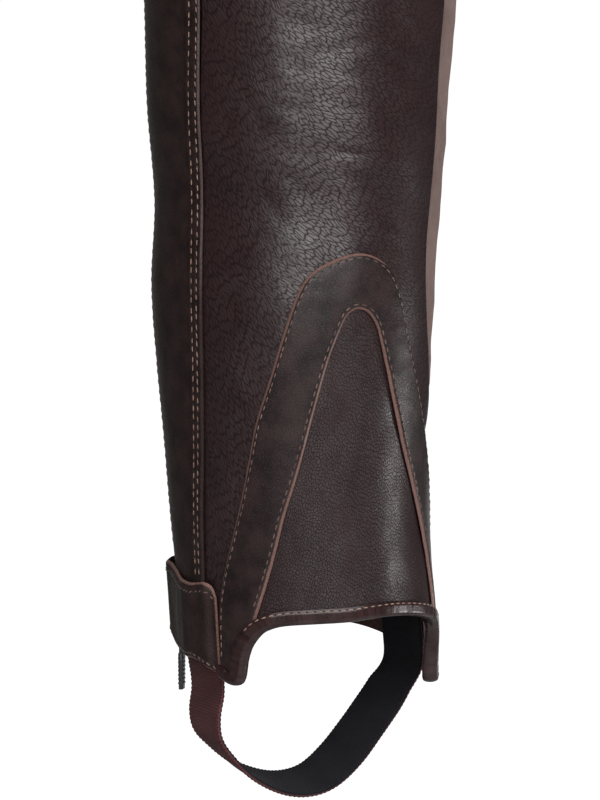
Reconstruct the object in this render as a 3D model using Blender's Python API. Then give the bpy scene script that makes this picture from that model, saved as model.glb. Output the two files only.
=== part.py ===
"""Leather half chap for a rider's right lower leg, filled out as if worn.

Each piece of leather, suede, elastic or zip tape is a flat pattern that is bent round the
leg: a grid is laid out in the pattern's own two directions, given its thickness, and every
point is then placed on the leg by an angle, a height and a lift off the skin side.
Sizes are in millimetres here, and metres() turns them into Blender's unit. Heights run from
the bottoms of the two side tabs. Angles run round the leg from the shin: plus is the inner
side of the leg and minus the outer side. The origin is on the leg's axis at the calf.
"""

import math

import bmesh
import bpy
from mathutils import Matrix, Vector

HOLD_HEIGHT = 240.0
TOP_HEIGHT = 414.0
TOP_SLOPE = 6.0
LEATHER = 1.3
SEAM_GAP = 0.3
TAPE = 1.0
TAPE_WIDTH = 9.8
TAPE_FOOT, TAPE_SHORT, CHAIN_SHORT = 12.6, 3.0, 8.0
CHAIN_WIDTH = 5.6
CHAIN_DEPTH = 2.4
ZIP_GAP = 5.0
STRIP_WIDTH = 6.2
STRIP_SHORT = 0.4
ELASTIC = 1.6
ELASTIC_WIDTH = 25.0
ELASTIC_SEWN_ANGLES = (-90.0, 95.0)
BINDING = 1.0
BINDING_REACH = 5.4
FOLD_ROOM = 1.7
BINDING_GAP = 0.2
FLAT_SHARE = 0.25
ANKLE_RADIUS = 41.5
SHARP_ANGLE = math.radians(50)

SKIN_LIFT = 0.0
PANEL_LIFT = SKIN_LIFT + LEATHER + SEAM_GAP
COVER_LIFT = PANEL_LIFT + LEATHER + SEAM_GAP
OVER_COVER_LIFT = COVER_LIFT + LEATHER + SEAM_GAP
TAPE_LIFT = PANEL_LIFT - SEAM_GAP - TAPE

# height, centre x and y, half width, depth in front and behind
LEG = (
    (-15, 0.9, -6.0, 41.7, 45.0, 43.5),
    (0, 0.5, -6.0, 41.7, 44.8, 43.8),
    (18, -0.7, -6.0, 41.5, 44.6, 44.2),
    (39, -2.6, -6.0, 41.1, 44.2, 44.4),
    (60, -4.1, -5.8, 41.7, 44.6, 45.2),
    (81, -4.6, -5.4, 42.8, 45.8, 46.6),
    (109, -4.0, -4.6, 45.3, 48.4, 50.0),
    (137, -3.1, -3.6, 47.3, 50.4, 53.2),
    (165, -1.2, -2.6, 47.5, 50.4, 54.0),
    (200, -0.6, -1.4, 50.0, 52.4, 57.2),
    (235, 1.2, -0.2, 51.8, 54.0, 59.6),
    (290, 2.4, 0.6, 54.2, 56.2, 61.2),
    (350, 1.8, -0.6, 53.8, 55.6, 59.2),
    (420, 0.6, -3.0, 51.6, 53.8, 55.6),
)

# angle and height of a fold, its half sizes in degrees and millimetres, and its rise
FOLDS = (
    (-36, 121, 20, 24, 0.9),
    (2, 182, 34, 26, 1.0),
    (18, 222, 30, 24, -0.9),
    (-30, 285, 34, 30, -1.0),
    (60, 318, 36, 30, 1.1),
    (58, -6, 11, 18, -2.9),
    (62, 96, 26, 24, 1.2),
    (62, 215, 28, 50, 0.9),
    (150, 100, 30, 24, -2.0),
    (188, 70, 26, 24, 1.6),
    (170, 150, 34, 26, 1.2),
    (205, 205, 30, 26, -1.4),
    (140, 262, 34, 28, -1.0),
)

# angle, height
HEM = (
    (-150, 12.0),
    (-112, 11.8),
    (-99, 9.8),
    (-92, 8.9),
    (-84, 8.7),
    (-78, 6.9),
    (-72, 4.4),
    (-69.2, 2.8),
    (-65.6, 1.3),
    (-62, 0.8),
    (-57, 0.8),
    (60, -2.6),
    (66, -2.6),
    (72, -2.0),
    (78, -0.9),
    (84, 0.4),
    (90, 1.6),
    (98, 4.2),
    (109.5, 7.2),
    (119, 9.4),
    (130, 11.2),
    (146, 12.4),
    (184, 12.6),
    (205, 12.3),
    (240, 12.0),
)

# height, angle
SIDE_SEAM = (
    (0, -81.5),
    (34, -80.4),
    (80, -74.0),
    (110, -71.4),
    (138, -70.5),
    (151, -71.3),
    (165, -71.8),
    (180, -71.3),
    (235, -70.7),
    (430, -70.6),
)
ZIP = ((0, -130.5), (60, -127.5), (140, -125.0), (430, -124.5))

# angle, height
INNER_CURVE = ((38.0, 75.8), (41.2, 78.4), (44.4, 81.4), (46.9, 85.0), (48.2, 89.6), (47.6, 95.6))
# height, angle
INNER_SEAM = (
    (90, 48.2),
    (101, 45.6),
    (111, 42.7),
    (121, 38.8),
    (134, 35.2),
    (146, 33.7),
    (166, 34.4),
    (190, 35.8),
    (236, 36.4),
    (330, 38.0),
    (430, 38.0),
)
LAP_ANGLE = 9.5
SUEDE_SUNK_LIFT = -0.35
SUEDE_SUNK_ABOVE = 73.0
SUEDE_FLUSH_BELOW = 56.0
SUEDE_FLUSH_ANGLES = (62.0, 112.0)

# angle and height of the outer edge, then of the inner edge, and where the seam under it lies
V_BAND = (
    (-69.4, 2.7, -60.2, 1.0, 0.0),
    (-69.6, 8.0, -58.4, 8.4, 0.0),
    (-69.0, 18.0, -53.3, 15.6, 0.0),
    (-67.4, 28.5, -49.4, 23.0, 0.12),
    (-63.4, 39.5, -42.8, 36.0, 0.30),
    (-57.8, 51.2, -37.6, 47.5, 0.45),
    (-52.4, 64.0, -33.0, 59.0, 0.50),
    (-48.2, 77.0, -28.2, 70.0, 0.50),
    (-44.2, 91.0, -24.2, 81.0, 0.50),
    (-38.2, 106.0, -19.6, 96.5, 0.50),
    (-32.4, 122.5, -15.0, 112.0, 0.50),
    (-27.6, 135.2, -11.0, 121.8, 0.50),
    (-22.8, 142.4, -8.2, 127.4, 0.50),
    (-14.0, 147.2, -5.4, 129.7, 0.50),
    (-4.0, 149.4, -2.4, 130.1, 0.50),
    (5.0, 147.2, 1.4, 128.6, 0.50),
    (11.4, 142.2, 5.2, 124.2, 0.50),
    (16.6, 133.5, 8.0, 117.6, 0.50),
    (21.0, 122.8, 11.2, 109.5, 0.50),
    (27.6, 109.5, 16.2, 97.5, 0.50),
    (35.6, 95.4, 23.2, 83.4, 0.50),
    (44.6, 82.0, 31.4, 69.6, 0.50),
    (54.0, 69.0, 38.8, 57.4, 0.50),
    (63.5, 55.0, 45.4, 46.4, 0.45),
    (71.0, 41.0, 51.4, 35.4, 0.30),
    (76.4, 28.0, 54.6, 26.4, 0.12),
    (80.4, 16.0, 54.8, 17.0, 0.0),
    (82.6, 8.0, 58.9, 8.8, 0.0),
    (83.6, 0.8, 61.8, -2.3, 0.0),
)
ARCH_LEFT, APEX_LEFT, APEX_RIGHT, INNER_CORNER, ARCH_RIGHT = 2, 12, 16, 21, 26
SEAM_SHARE = 0.05

# angle and height of the fold, and which way the leather lies from it, in degrees from upwards
ARCH = (
    (-69.0, 0.7, -2.0),
    (-65.6, -0.8, -3.0),
    (-62.0, -1.4, -19.0),
    (-58.8, -0.6, -41.0),
    (-56.9, 2.4, -70.0),
    (-55.4, 7.6, -72.0),
    (-52.8, 12.4, -60.0),
    (-48.2, 16.7, -45.0),
    (-44.0, 18.8, -24.0),
    (-37.0, 20.3, -9.0),
    (-23.0, 21.1, -4.0),
    (-8.0, 21.6, -4.0),
    (4.0, 22.4, -4.0),
    (14.0, 22.7, 1.0),
    (25.0, 22.2, 7.0),
    (36.0, 20.8, 14.0),
    (45.0, 18.6, 28.0),
    (52.0, 14.6, 51.0),
    (56.4, 8.4, 72.0),
    (57.8, 2.0, 79.0),
    (59.4, -3.2, 66.0),
    (61.4, -4.8, 48.0),
)

ARCH_CORNERS = (7, 17)
TAB_LAYERS = (8.0, 9.6, 13.4, 15.0)

# angle, bottom, top, lift
GUARD = (
    (-69.9, 0.9, 29.0, COVER_LIFT),
    (-71.8, 2.3, 32.6, 3.35),
    (-74.3, 3.8, 34.2, OVER_COVER_LIFT + 0.05),
    (-78.0, 4.8, 34.0, OVER_COVER_LIFT),
    (-84.0, 6.4, 33.4, OVER_COVER_LIFT),
    (-92.0, 6.2, 33.8, 4.3),
    (-99.0, 6.4, 34.8, 3.5),
    (-106.0, 7.2, 36.4, 3.2),
    (-114.0, 8.6, 37.6, 3.7),
    (-122.0, 11.8, 38.2, 5.3),
    (-130.0, 12.5, 38.4, 5.5),
    (-138.0, 12.5, 38.4, 5.4),
    (-146.0, 12.8, 38.4, 3.8),
    (-151.5, 13.2, 38.0, COVER_LIFT),
    (-157.0, 13.6, 37.4, COVER_LIFT),
)

# middle x, y and height, and how far the front edge leans aside and drops
STRAP = (
    (-38.0, -5.5, 24.0, 0.0, 0.0),
    (-38.0, -5.5, 12.0, 0.0, 0.0),
    (-38.0, -5.5, 3.0, 0.0, 0.0),
    (-38.9, -5.5, -6.0, 0.0, 0.2),
    (-40.1, -5.5, -14.0, 0.3, 0.8),
    (-39.0, -5.5, -21.0, 1.0, 1.5),
    (-34.4, -5.5, -27.0, 1.7, 2.3),
    (-25.6, -5.5, -34.8, 2.0, 3.5),
    (-14.0, -5.3, -39.9, 1.5, 4.9),
    (-4.0, -4.9, -41.2, -0.4, 5.3),
    (5.4, -4.5, -38.8, -2.0, 5.0),
    (14.8, -3.8, -31.8, -3.1, 4.3),
    (23.6, -3.1, -22.4, -3.5, 3.5),
    (31.6, -2.5, -12.8, -3.7, 2.6),
    (37.4, -2.1, -4.0, -3.0, 1.2),
    (39.8, -2.0, 4.0, -2.0, 0.2),
    (40.2, -2.0, 13.0, -1.6, 0.0),
    (40.0, -2.0, 24.0, -1.6, 0.0),
)
STRAP_ON_WALL, STRAP_FREE = 5.0, -9.0

LOW_ROWS = (22, 33, 46, 61, 78, 91)
HIGH_ROWS = (103, 112, 121, 130, 139, 149, 160, 172, 185, 198, 211)
HIGH_ROWS += (224, 238, 253, 269, 286, 304, 323, 343, 365, 390)

PIVOT_HEIGHT = 15.5
PIVOT_LIFT = 3.4
SLIDER_FLOOR, SLIDER_HEAD = -2.9, 6.5
SLIDER_HALF, SLIDER_NECK = 4.2, 2.2
PLATE_TOP, PLATE_UNDER, BACK_TOP, BACK_UNDER = -0.8, -1.75, -3.8, -4.8
BRIDGE_HALF = 1.1
BRIDGE_FOOT, BRIDGE_HEAD, BRIDGE_WALL = -1.9, 5.1, 1.1
BRIDGE_UNDER, BRIDGE_CROWN, BRIDGE_SLOPE = 0.8, 1.6, 0.5
PULL_BAR = 0.45
PULL_THICK = 0.85
PULL_SLOT = 1.5
PULL_HALF = 2.9
PULL_COLUMNS = (-PULL_HALF, -PULL_SLOT, PULL_SLOT, PULL_HALF)
PULL_GRIP_ROWS = (-24.6, -23.4, -12.0)
PULL_LOOP_ROWS = (-10.0, -8.6, -PULL_BAR, PULL_BAR)
PULL_TIP = 0.6


def metres(x, y, height):
    return Vector((x, y, height - HOLD_HEIGHT)) / 1000


def smooth(share):
    share = min(max(share, 0.0), 1.0)
    return share * share * (3 - 2 * share)


def read(table, place):
    """Reads a table at a row number that may lie between rows, on a smooth curve."""
    last = len(table) - 1
    place = min(max(place, 0.0), float(last))
    row = min(int(place), last - 1)
    share = place - row
    values = []
    for column in range(len(table[0])):
        before, start, end, after = (table[min(max(row + step, 0), last)][column] for step in (-1, 0, 1, 2))
        leave = (end - before) / (2 if row > 0 else 1)
        arrive = (after - start) / (2 if row < last - 1 else 1)
        bend = 3 * (end - start) - 2 * leave - arrive
        settle = leave + arrive - 2 * (end - start)
        values.append(start + share * (leave + share * (bend + share * settle)))
    return values


def look_up(table, key):
    """Reads a table whose first column rises, at a value of that column, on a smooth curve."""
    keys = [row[0] for row in table]
    key = min(max(key, keys[0]), keys[-1])
    row = max(index for index in range(len(keys) - 1) if keys[index] <= key)
    span = keys[row + 1] - keys[row]
    share = (key - keys[row]) / span
    values = []
    for column in range(1, len(table[0])):
        start, end = table[row][column], table[row + 1][column]

        def slope(index):
            low, high = max(index - 1, 0), min(index + 1, len(keys) - 1)
            return (table[high][column] - table[low][column]) / (keys[high] - keys[low]) * span

        leave, arrive = slope(row), slope(row + 1)
        bend = 3 * (end - start) - 2 * leave - arrive
        settle = leave + arrive - 2 * (end - start)
        values.append(start + share * (leave + share * (bend + share * settle)))
    return values


def fold_rise(angle, height):
    """How far the leather's large soft folds stand off the plain form of the leg."""
    total = 0.0
    for at_angle, at_height, half_angle, half_height, rise in FOLDS:
        away = (angle - at_angle + 180) % 360 - 180
        total += rise * math.exp(-((away / half_angle) ** 2) - ((height - at_height) / half_height) ** 2)
    return total


def leg_frame(angle, height):
    """The skin-side point at an angle and height, and the level direction out of the leg."""
    centre_x, centre_y, half_width, front_depth, rear_depth = look_up(LEG, height)
    turn = math.radians(angle)
    depth = front_depth if math.cos(turn) > 0 else rear_depth
    point = Vector((centre_x + half_width * math.sin(turn), centre_y - depth * math.cos(turn), 0))
    outward = Vector((math.sin(turn) / half_width, -math.cos(turn) / depth, 0)).normalized()
    return point + outward * fold_rise(angle, height), outward


def leg(angle, height, lift):
    point, outward = leg_frame(angle, height)
    point += outward * lift
    return metres(point.x, point.y, height)


def degrees_for(distance, height):
    """The angle that a distance along the leather takes up at a height."""
    return math.degrees(distance / look_up(LEG, height)[2])


def hem(angle):
    return look_up(HEM, angle)[0]


def top(angle):
    return TOP_HEIGHT + TOP_SLOPE * math.cos(math.radians(angle))


def zip_angle(height):
    return look_up(ZIP, height)[0]


def side_seam_angle(height):
    return look_up(SIDE_SEAM, height)[0]


def along(path, share):
    """A point of a path of (angle, height) points, at a share of its steps."""
    place = share * (len(path) - 1)
    row = min(int(place), len(path) - 2)
    return Vector(path[row]).lerp(Vector(path[row + 1]), place - row)


def patch(left, right, bottom, upper):
    """A flat pattern filled in between four edges, each a path from its start to its end."""
    corners = (Vector(bottom[0]), Vector(bottom[-1]), Vector(upper[0]), Vector(upper[-1]))

    def outline(across, up):
        ruled = along(bottom, across).lerp(along(upper, across), up)
        sides = along(left, up).lerp(along(right, up), across)
        twice = corners[0].lerp(corners[1], across).lerp(corners[2].lerp(corners[3], across), up)
        return ruled + sides - twice

    return outline


def base_seam(first, last, shift=0.0):
    """The seam between the panels that the V band hides, from one row of its table to another."""
    path = []
    step = 1 if last >= first else -1
    for number in range(first, last + step, step):
        outer_angle, outer_height, inner_angle, inner_height, share = V_BAND[number]
        share = max(share + shift, 0.0)
        angle = inner_angle + (outer_angle - inner_angle) * share
        path.append((angle, inner_height + (outer_height - inner_height) * share))
    return path


def into_leather(row, inset):
    """The point at a distance inside the fold of the instep binding, at a row of its table."""
    angle, height, lean = read(ARCH, row)
    across, up = math.sin(math.radians(lean)), math.cos(math.radians(lean))
    return angle + across * inset / math.radians(ANKLE_RADIUS), height + up * inset


def arch_path(first, last, inset, steps):
    """The fold of the instep binding moved into the leather by a distance."""
    return [into_leather(first + (last - first) * number / steps, inset) for number in range(steps + 1)]


def hem_path(start, end, steps):
    angles = [start + (end - start) * number / steps for number in range(steps + 1)]
    return [(angle, hem(angle)) for angle in angles]


def top_path(start, end, steps):
    angles = [start + (end - start) * number / steps for number in range(steps + 1)]
    return [(angle, top(angle)) for angle in angles]


def upright(angle_at, heights):
    """A path up the leg with a point at each of these heights."""
    return [(angle_at(height), height) for height in heights]


def inner_seam(shift=0.0):
    """The edge of the front panel over the suede, from the rows that all the panels share to the top."""
    path = upright(lambda height: look_up(INNER_SEAM, height)[0] - shift, HIGH_ROWS)
    angle = look_up(INNER_SEAM, TOP_HEIGHT)[0] - shift
    return path + [(angle, top(angle))]


def solid(name, columns, rows, place, made_of):
    """Makes one closed piece. place(across, up, through) gives a point for three shares of 0 to 1."""
    form = bmesh.new()
    bmesh.ops.create_grid(form, x_segments=columns, y_segments=rows, size=0.5)
    grown = bmesh.ops.extrude_face_region(form, geom=form.faces[:])
    far_side = {item for item in grown["geom"] if isinstance(item, bmesh.types.BMVert)}
    for vert in form.verts:
        vert.co = place(vert.co.x + 0.5, vert.co.y + 0.5, float(vert in far_side))
    bmesh.ops.recalc_face_normals(form, faces=form.faces[:])
    return finish(name, form, made_of)


def finish(name, form, made_of):
    """Stores a form as an object, turned the right way out, with smooth faces and sharp edges."""
    if form.calc_volume(signed=True) < 0:
        bmesh.ops.reverse_faces(form, faces=form.faces[:])
    mesh = bpy.data.meshes.new(name)
    form.to_mesh(mesh)
    form.free()
    mesh.materials.append(made_of)
    mesh.shade_smooth()
    mesh.set_sharp_from_angle(angle=SHARP_ANGLE)
    obj = bpy.data.objects.new(name, mesh)
    bpy.context.collection.objects.link(obj)
    return obj


def panel(name, columns, rows, outline, lift_at, made_of, thickness=LEATHER):
    """A flat pattern bent round the leg. lift_at(angle, height) is its skin side."""

    def place(across, up, through):
        angle, height = outline(across, up)
        return leg(angle, height, lift_at(angle, height) + through * thickness)

    return solid(name, columns, rows, place, made_of)


def at_lift(lift):
    return lambda angle, height: lift


def material(name, colour, roughness, metallic=0.0):
    made = bpy.data.materials.new(name)
    made.use_nodes = True
    shader = made.node_tree.nodes["Principled BSDF"]
    shader.inputs["Base Color"].default_value = (*colour, 1)
    shader.inputs["Roughness"].default_value = roughness
    shader.inputs["Metallic"].default_value = metallic
    made.diffuse_color = (*colour, 1)
    return made


def make_front_panel(leather):
    hem_steps = 5
    columns = hem_steps + INNER_CORNER
    heights = (hem(-80), *LOW_ROWS, *HIGH_ROWS, top(-70))
    side = upright(lambda height: side_seam_angle(height) + degrees_for(SEAM_GAP / 2, height), heights)
    bottom = hem_path(side[0][0], V_BAND[0][2], hem_steps)[:-1] + base_seam(0, INNER_CORNER, SEAM_SHARE)
    inner = [bottom[-1], *INNER_CURVE[1:], *inner_seam()]
    upper = top_path(side[-1][0], inner[-1][0], columns)
    side[0] = bottom[0]
    side[-1] = upper[0]
    rows = len(heights) - 1
    outline = patch(side, inner, bottom, upper)
    return panel("front_panel", columns, rows, outline, at_lift(PANEL_LIFT), leather)


def make_rear_outer_panel(leather):
    columns = 8
    heights = (hem(-105), *LOW_ROWS, *HIGH_ROWS, top(-95))
    zip_side = upright(lambda height: zip_angle(height) + degrees_for(ZIP_GAP, height), heights)
    seam = upright(lambda height: side_seam_angle(height) - degrees_for(SEAM_GAP / 2, height), heights)
    bottom = hem_path(zip_side[0][0], seam[0][0], columns)
    upper = top_path(zip_side[-1][0], seam[-1][0], columns)
    zip_side[0], zip_side[-1] = bottom[0], upper[0]
    seam[0], seam[-1] = bottom[-1], upper[-1]
    rows = len(heights) - 1
    outline = patch(zip_side, seam, bottom, upper)
    return panel("rear_outer_panel", columns, rows, outline, at_lift(PANEL_LIFT), leather)


def suede_lift(angle, height):
    """The suede lies flush with the leather all round, but dips under it where it is lapped."""
    low, high = SUEDE_FLUSH_ANGLES
    round_back = smooth((angle - low) / (high - low))
    at_ankle = smooth((SUEDE_SUNK_ABOVE - height) / (SUEDE_SUNK_ABOVE - SUEDE_FLUSH_BELOW))
    return SUEDE_SUNK_LIFT + (PANEL_LIFT - SUEDE_SUNK_LIFT) * max(round_back, at_ankle)


def make_inner_calf_panel(suede):
    columns = 28
    front = base_seam(len(V_BAND) - 1, INNER_CORNER, SEAM_SHARE) + inner_seam(LAP_ANGLE)
    heights = (hem(230), *[height for _, height in front[1:-1]], top(230))
    back = upright(lambda height: 360 + zip_angle(height) - degrees_for(ZIP_GAP, height), heights)
    bottom = hem_path(front[0][0], back[0][0], columns)
    upper = top_path(front[-1][0], back[-1][0], columns)
    front[0] = bottom[0]
    back[0], back[-1] = bottom[-1], upper[-1]
    rows = len(front) - 1
    outline = patch(front, back, bottom, upper)
    return panel("inner_calf_panel", columns, rows, outline, suede_lift, suede)


def make_ankle_front(leather):
    columns = 4 * (APEX_RIGHT - APEX_LEFT)
    left = base_seam(ARCH_LEFT, APEX_LEFT, -SEAM_SHARE)
    right = base_seam(ARCH_RIGHT, APEX_RIGHT, -SEAM_SHARE)
    upper = base_seam(APEX_LEFT, APEX_RIGHT, -SEAM_SHARE)
    bottom = arch_path(ARCH_CORNERS[0], ARCH_CORNERS[1], FOLD_ROOM, columns)
    left[0], right[0] = bottom[0], bottom[-1]
    rows = len(left) - 1
    outline = patch(left, right, bottom, upper)
    return panel("ankle_front", columns, rows, outline, at_lift(PANEL_LIFT), leather)


def make_ankle_v_band(leather):
    rows = len(V_BAND) - 1

    def outline(across, up):
        outer_angle, outer_height, inner_angle, inner_height, _ = read(V_BAND, across * rows)
        return Vector((outer_angle, outer_height)).lerp(Vector((inner_angle, inner_height)), up)

    return panel("ankle_v_band", rows * 2, 3, outline, at_lift(COVER_LIFT), leather)


def make_side_seam_strip(leather):
    low = hem(SIDE_SEAM[0][1]) + STRIP_SHORT

    def outline(across, up):
        height = low + (top(-70) - low) * up
        side = degrees_for(STRIP_WIDTH * (across - 0.5), height)
        return side_seam_angle(height) + side, height

    return panel("side_seam_strip", 2, 26, outline, at_lift(COVER_LIFT), leather)


def make_instep_binding(leather):
    """A strip folded over the cut edge of the instep arch and of the two tabs beside it."""
    rows = len(ARCH) - 1
    under = PANEL_LIFT - SEAM_GAP
    room = FOLD_ROOM - BINDING_GAP

    def place(across, up, through):
        row = across * rows
        outer_full, outer_end, inner_end, inner_full = TAB_LAYERS
        outer_tab = smooth((outer_end - row) / (outer_end - outer_full))
        at_tab = max(outer_tab, smooth((row - inner_end) / (inner_full - inner_end)))
        over = COVER_LIFT + (OVER_COVER_LIFT - COVER_LIFT) * at_tab
        middle, half = (over + under) / 2, (over - under) / 2
        turn = min(max((up - FLAT_SHARE) / (1 - 2 * FLAT_SHARE), 0.0), 1.0)
        along_flat = min(min(up, 1 - up) / FLAT_SHARE, 1.0)
        reach = room + (BINDING_REACH - FOLD_ROOM) * (1 - along_flat)
        inset = reach - (room - BINDING * (1 - through)) * math.sin(math.pi * turn)
        lift = middle + (half + BINDING * through) * math.cos(math.pi * turn)
        return leg(*into_leather(row, inset), lift)

    return solid("instep_binding", rows * 3, 8, place, leather)


def make_zip_guard(leather):
    rows = len(GUARD) - 1

    def place(across, up, through):
        angle, bottom, upper, lift = read(GUARD, across * rows)
        return leg(angle, bottom + (upper - bottom) * up, lift + through * LEATHER)

    return solid("zip_guard", rows * 2, 3, place, leather)


def strap_frame(row):
    """Middle, width direction and outward direction of the elastic at a row of its table."""
    x, y, height, lean, drop = read(STRAP, row)
    forward = Vector((-lean, -math.sqrt(ELASTIC_WIDTH**2 - lean**2 - drop**2), -drop)).normalized()
    ahead, behind = read(STRAP, row + 0.1), read(STRAP, row - 0.1)
    run = Vector([a - b for a, b in zip(ahead[:3], behind[:3])])
    outward = forward.cross(run).normalized()
    return Vector((x, y, height)), forward, outward


def make_stirrup_strap(elastic):
    """A flat elastic that is sewn inside both sides of the wall and hangs in a loop below."""
    rows = len(STRAP) - 1
    half_turn = degrees_for(ELASTIC_WIDTH / 2, 0)

    def place(across, up, through):
        middle, forward, outward = strap_frame(across * rows)
        side = 2 * up - 1
        free = middle + forward * side * ELASTIC_WIDTH / 2 - outward * (through - 0.5) * ELASTIC
        outer_side = across < 0.5
        angle = ELASTIC_SEWN_ANGLES[0 if outer_side else 1] + side * half_turn * (1 if outer_side else -1)
        sewn = leg(angle, middle.z, PANEL_LIFT - SEAM_GAP - through * ELASTIC)
        on_wall = smooth((middle.z - STRAP_FREE) / (STRAP_ON_WALL - STRAP_FREE))
        return metres(*free).lerp(sewn, on_wall)

    return solid("stirrup_strap", rows * 2, 4, place, elastic)


def make_zip_tape(name, side, tape):
    low, high = TAPE_FOOT, top(-125) - TAPE_SHORT
    near, far = CHAIN_WIDTH / 2 + SEAM_GAP, CHAIN_WIDTH / 2 + SEAM_GAP + TAPE_WIDTH

    def outline(across, up):
        height = low + (high - low) * up
        return zip_angle(height) + side * degrees_for(near + (far - near) * across, height), height

    return panel(name, 2, 18, outline, at_lift(TAPE_LIFT), tape, TAPE)


def make_zip_chain(metal):
    low = PIVOT_HEIGHT + SLIDER_HEAD + SEAM_GAP
    high = top(-125) - CHAIN_SHORT

    def outline(across, up):
        height = low + (high - low) * up
        return zip_angle(height) + degrees_for(CHAIN_WIDTH * (across - 0.5), height), height

    lift = TAPE_LIFT + (TAPE - CHAIN_DEPTH) / 2
    return panel("zip_chain", 1, 24, outline, at_lift(lift), metal, CHAIN_DEPTH)


def zip_matrix():
    """Stands at the pull's hinge: X runs rearward along the leather, Y out of the leg and Z up."""
    point, outward = leg_frame(zip_angle(PIVOT_HEIGHT), PIVOT_HEIGHT)
    point += outward * PIVOT_LIFT
    sideways = outward.cross(Vector((0, 0, 1)))
    axes = Matrix((sideways, outward, Vector((0, 0, 1)))).transposed().to_4x4()
    return Matrix.Translation(metres(point.x, point.y, PIVOT_HEIGHT)) @ axes


def extruded(name, corners, start, end, along_axis, made_of):
    """A profile of corner points pushed from start to end along one axis, in millimetres."""
    form = bmesh.new()
    ring = [form.verts.new(along_axis(first, second, start) / 1000) for first, second in corners]
    face = form.faces.new(ring)
    grown = bmesh.ops.extrude_face_region(form, geom=[face])
    move = (along_axis(0, 0, end) - along_axis(0, 0, start)) / 1000
    far_side = [item for item in grown["geom"] if isinstance(item, bmesh.types.BMVert)]
    bmesh.ops.translate(form, vec=move, verts=far_side)
    bmesh.ops.recalc_face_normals(form, faces=form.faces[:])
    return finish(name, form, made_of)


def make_zip_slider(metal):
    wide, neck = SLIDER_HALF, SLIDER_NECK
    plate = [(wide, PLATE_TOP), (wide, PLATE_UNDER), (neck, PLATE_UNDER)]
    body_half = plate + [(neck, BACK_TOP), (wide, BACK_TOP), (wide, BACK_UNDER)]
    body = body_half + [(-x, y) for x, y in reversed(body_half)]
    ends = (SLIDER_FLOOR, SLIDER_HEAD)
    slider = extruded("zip_slider", body, *ends, lambda x, y, z: Vector((x, y, z)), metal)
    sunk = (PLATE_TOP + PLATE_UNDER) / 2
    inside_low, inside_high = BRIDGE_FOOT + BRIDGE_WALL, BRIDGE_HEAD - BRIDGE_WALL
    slope = BRIDGE_SLOPE
    bridge = [
        (BRIDGE_FOOT, sunk),
        (BRIDGE_FOOT, BRIDGE_CROWN - slope),
        (BRIDGE_FOOT + slope, BRIDGE_CROWN),
        (BRIDGE_HEAD - slope, BRIDGE_CROWN),
        (BRIDGE_HEAD, BRIDGE_CROWN - slope),
        (BRIDGE_HEAD, sunk),
        (inside_high, sunk),
        (inside_high, BRIDGE_UNDER),
        (inside_low, BRIDGE_UNDER),
        (inside_low, sunk),
    ]
    ends = (-BRIDGE_HALF, BRIDGE_HALF)
    arch = extruded("zip_bridge_form", bridge, *ends, lambda z, y, x: Vector((x, y, z)), metal)
    arch.hide_render = True
    arch.display_type = "WIRE"
    for piece in (slider, arch):
        piece.matrix_world = zip_matrix()
    union = slider.modifiers.new("bridge", "BOOLEAN")
    union.operation = "UNION"
    union.object = arch
    return slider


def make_zip_pull(metal):
    """A flat pull with an open loop at its top, whose bar turns under the slider's bridge."""
    form = bmesh.new()
    heights = PULL_GRIP_ROWS + PULL_LOOP_ROWS
    columns, rows = len(PULL_COLUMNS) - 1, len(heights) - 1
    bmesh.ops.create_grid(form, x_segments=columns, y_segments=rows, size=0.5)
    open_row = rows - 1.5
    middles = [(face, face.calc_center_median()) for face in form.faces]
    slot = [face for face, at in middles if abs(at.x) < 0.1 and abs((at.y + 0.5) * rows - open_row) < 0.1]
    bmesh.ops.delete(form, geom=slot, context="FACES")
    grown = bmesh.ops.extrude_face_region(form, geom=form.faces[:])
    far_side = {item for item in grown["geom"] if isinstance(item, bmesh.types.BMVert)}
    for vert in form.verts:
        row = round((vert.co.y + 0.5) * rows)
        across = PULL_COLUMNS[round((vert.co.x + 0.5) * columns)]
        thick = PULL_THICK if 0 < row < len(PULL_GRIP_ROWS) else PULL_BAR
        if row == 0:
            across *= PULL_TIP
        out = thick if vert in far_side else -thick
        vert.co = Vector((across, out, heights[row])) / 1000
    bmesh.ops.recalc_face_normals(form, faces=form.faces[:])
    pull = finish("zip_pull", form, metal)
    pull.matrix_world = zip_matrix()
    return pull


def clear_scene():
    for obj in list(bpy.data.objects):
        bpy.data.objects.remove(obj, do_unlink=True)


def main():
    clear_scene()
    grained = material("grained leather", (0.028, 0.018, 0.018), 0.5)
    smooth_leather = material("smooth leather", (0.03, 0.019, 0.019), 0.6)
    suede = material("suede", (0.095, 0.066, 0.06), 0.9)
    glossy = material("folded leather", (0.07, 0.03, 0.027), 0.3)
    elastic = material("elastic", (0.05, 0.02, 0.02), 0.85)
    tape = material("zip tape", (0.014, 0.012, 0.013), 0.9)
    metal = material("zip metal", (0.02, 0.018, 0.018), 0.35, 0.9)
    make_front_panel(grained)
    make_rear_outer_panel(smooth_leather)
    make_inner_calf_panel(suede)
    make_ankle_front(grained)
    make_ankle_v_band(smooth_leather)
    make_side_seam_strip(smooth_leather)
    make_instep_binding(glossy)
    make_zip_guard(smooth_leather)
    make_stirrup_strap(elastic)
    make_zip_tape("zip_tape_front", 1, tape)
    make_zip_tape("zip_tape_rear", -1, tape)
    make_zip_chain(metal)
    make_zip_slider(metal)
    make_zip_pull(metal)


main()
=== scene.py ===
# %% [markdown]
# # A rider's half chap in leather, suede and elastic
# A half chap is a tube of leather round the lower leg. This one is seen as if a leg filled it.
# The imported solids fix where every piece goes. Each visible piece is made again here as thin
# leather with a cut edge, a grain side and a flesh side, and then it is sewn, stitch by stitch.

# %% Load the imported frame
import bisect
import math

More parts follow.
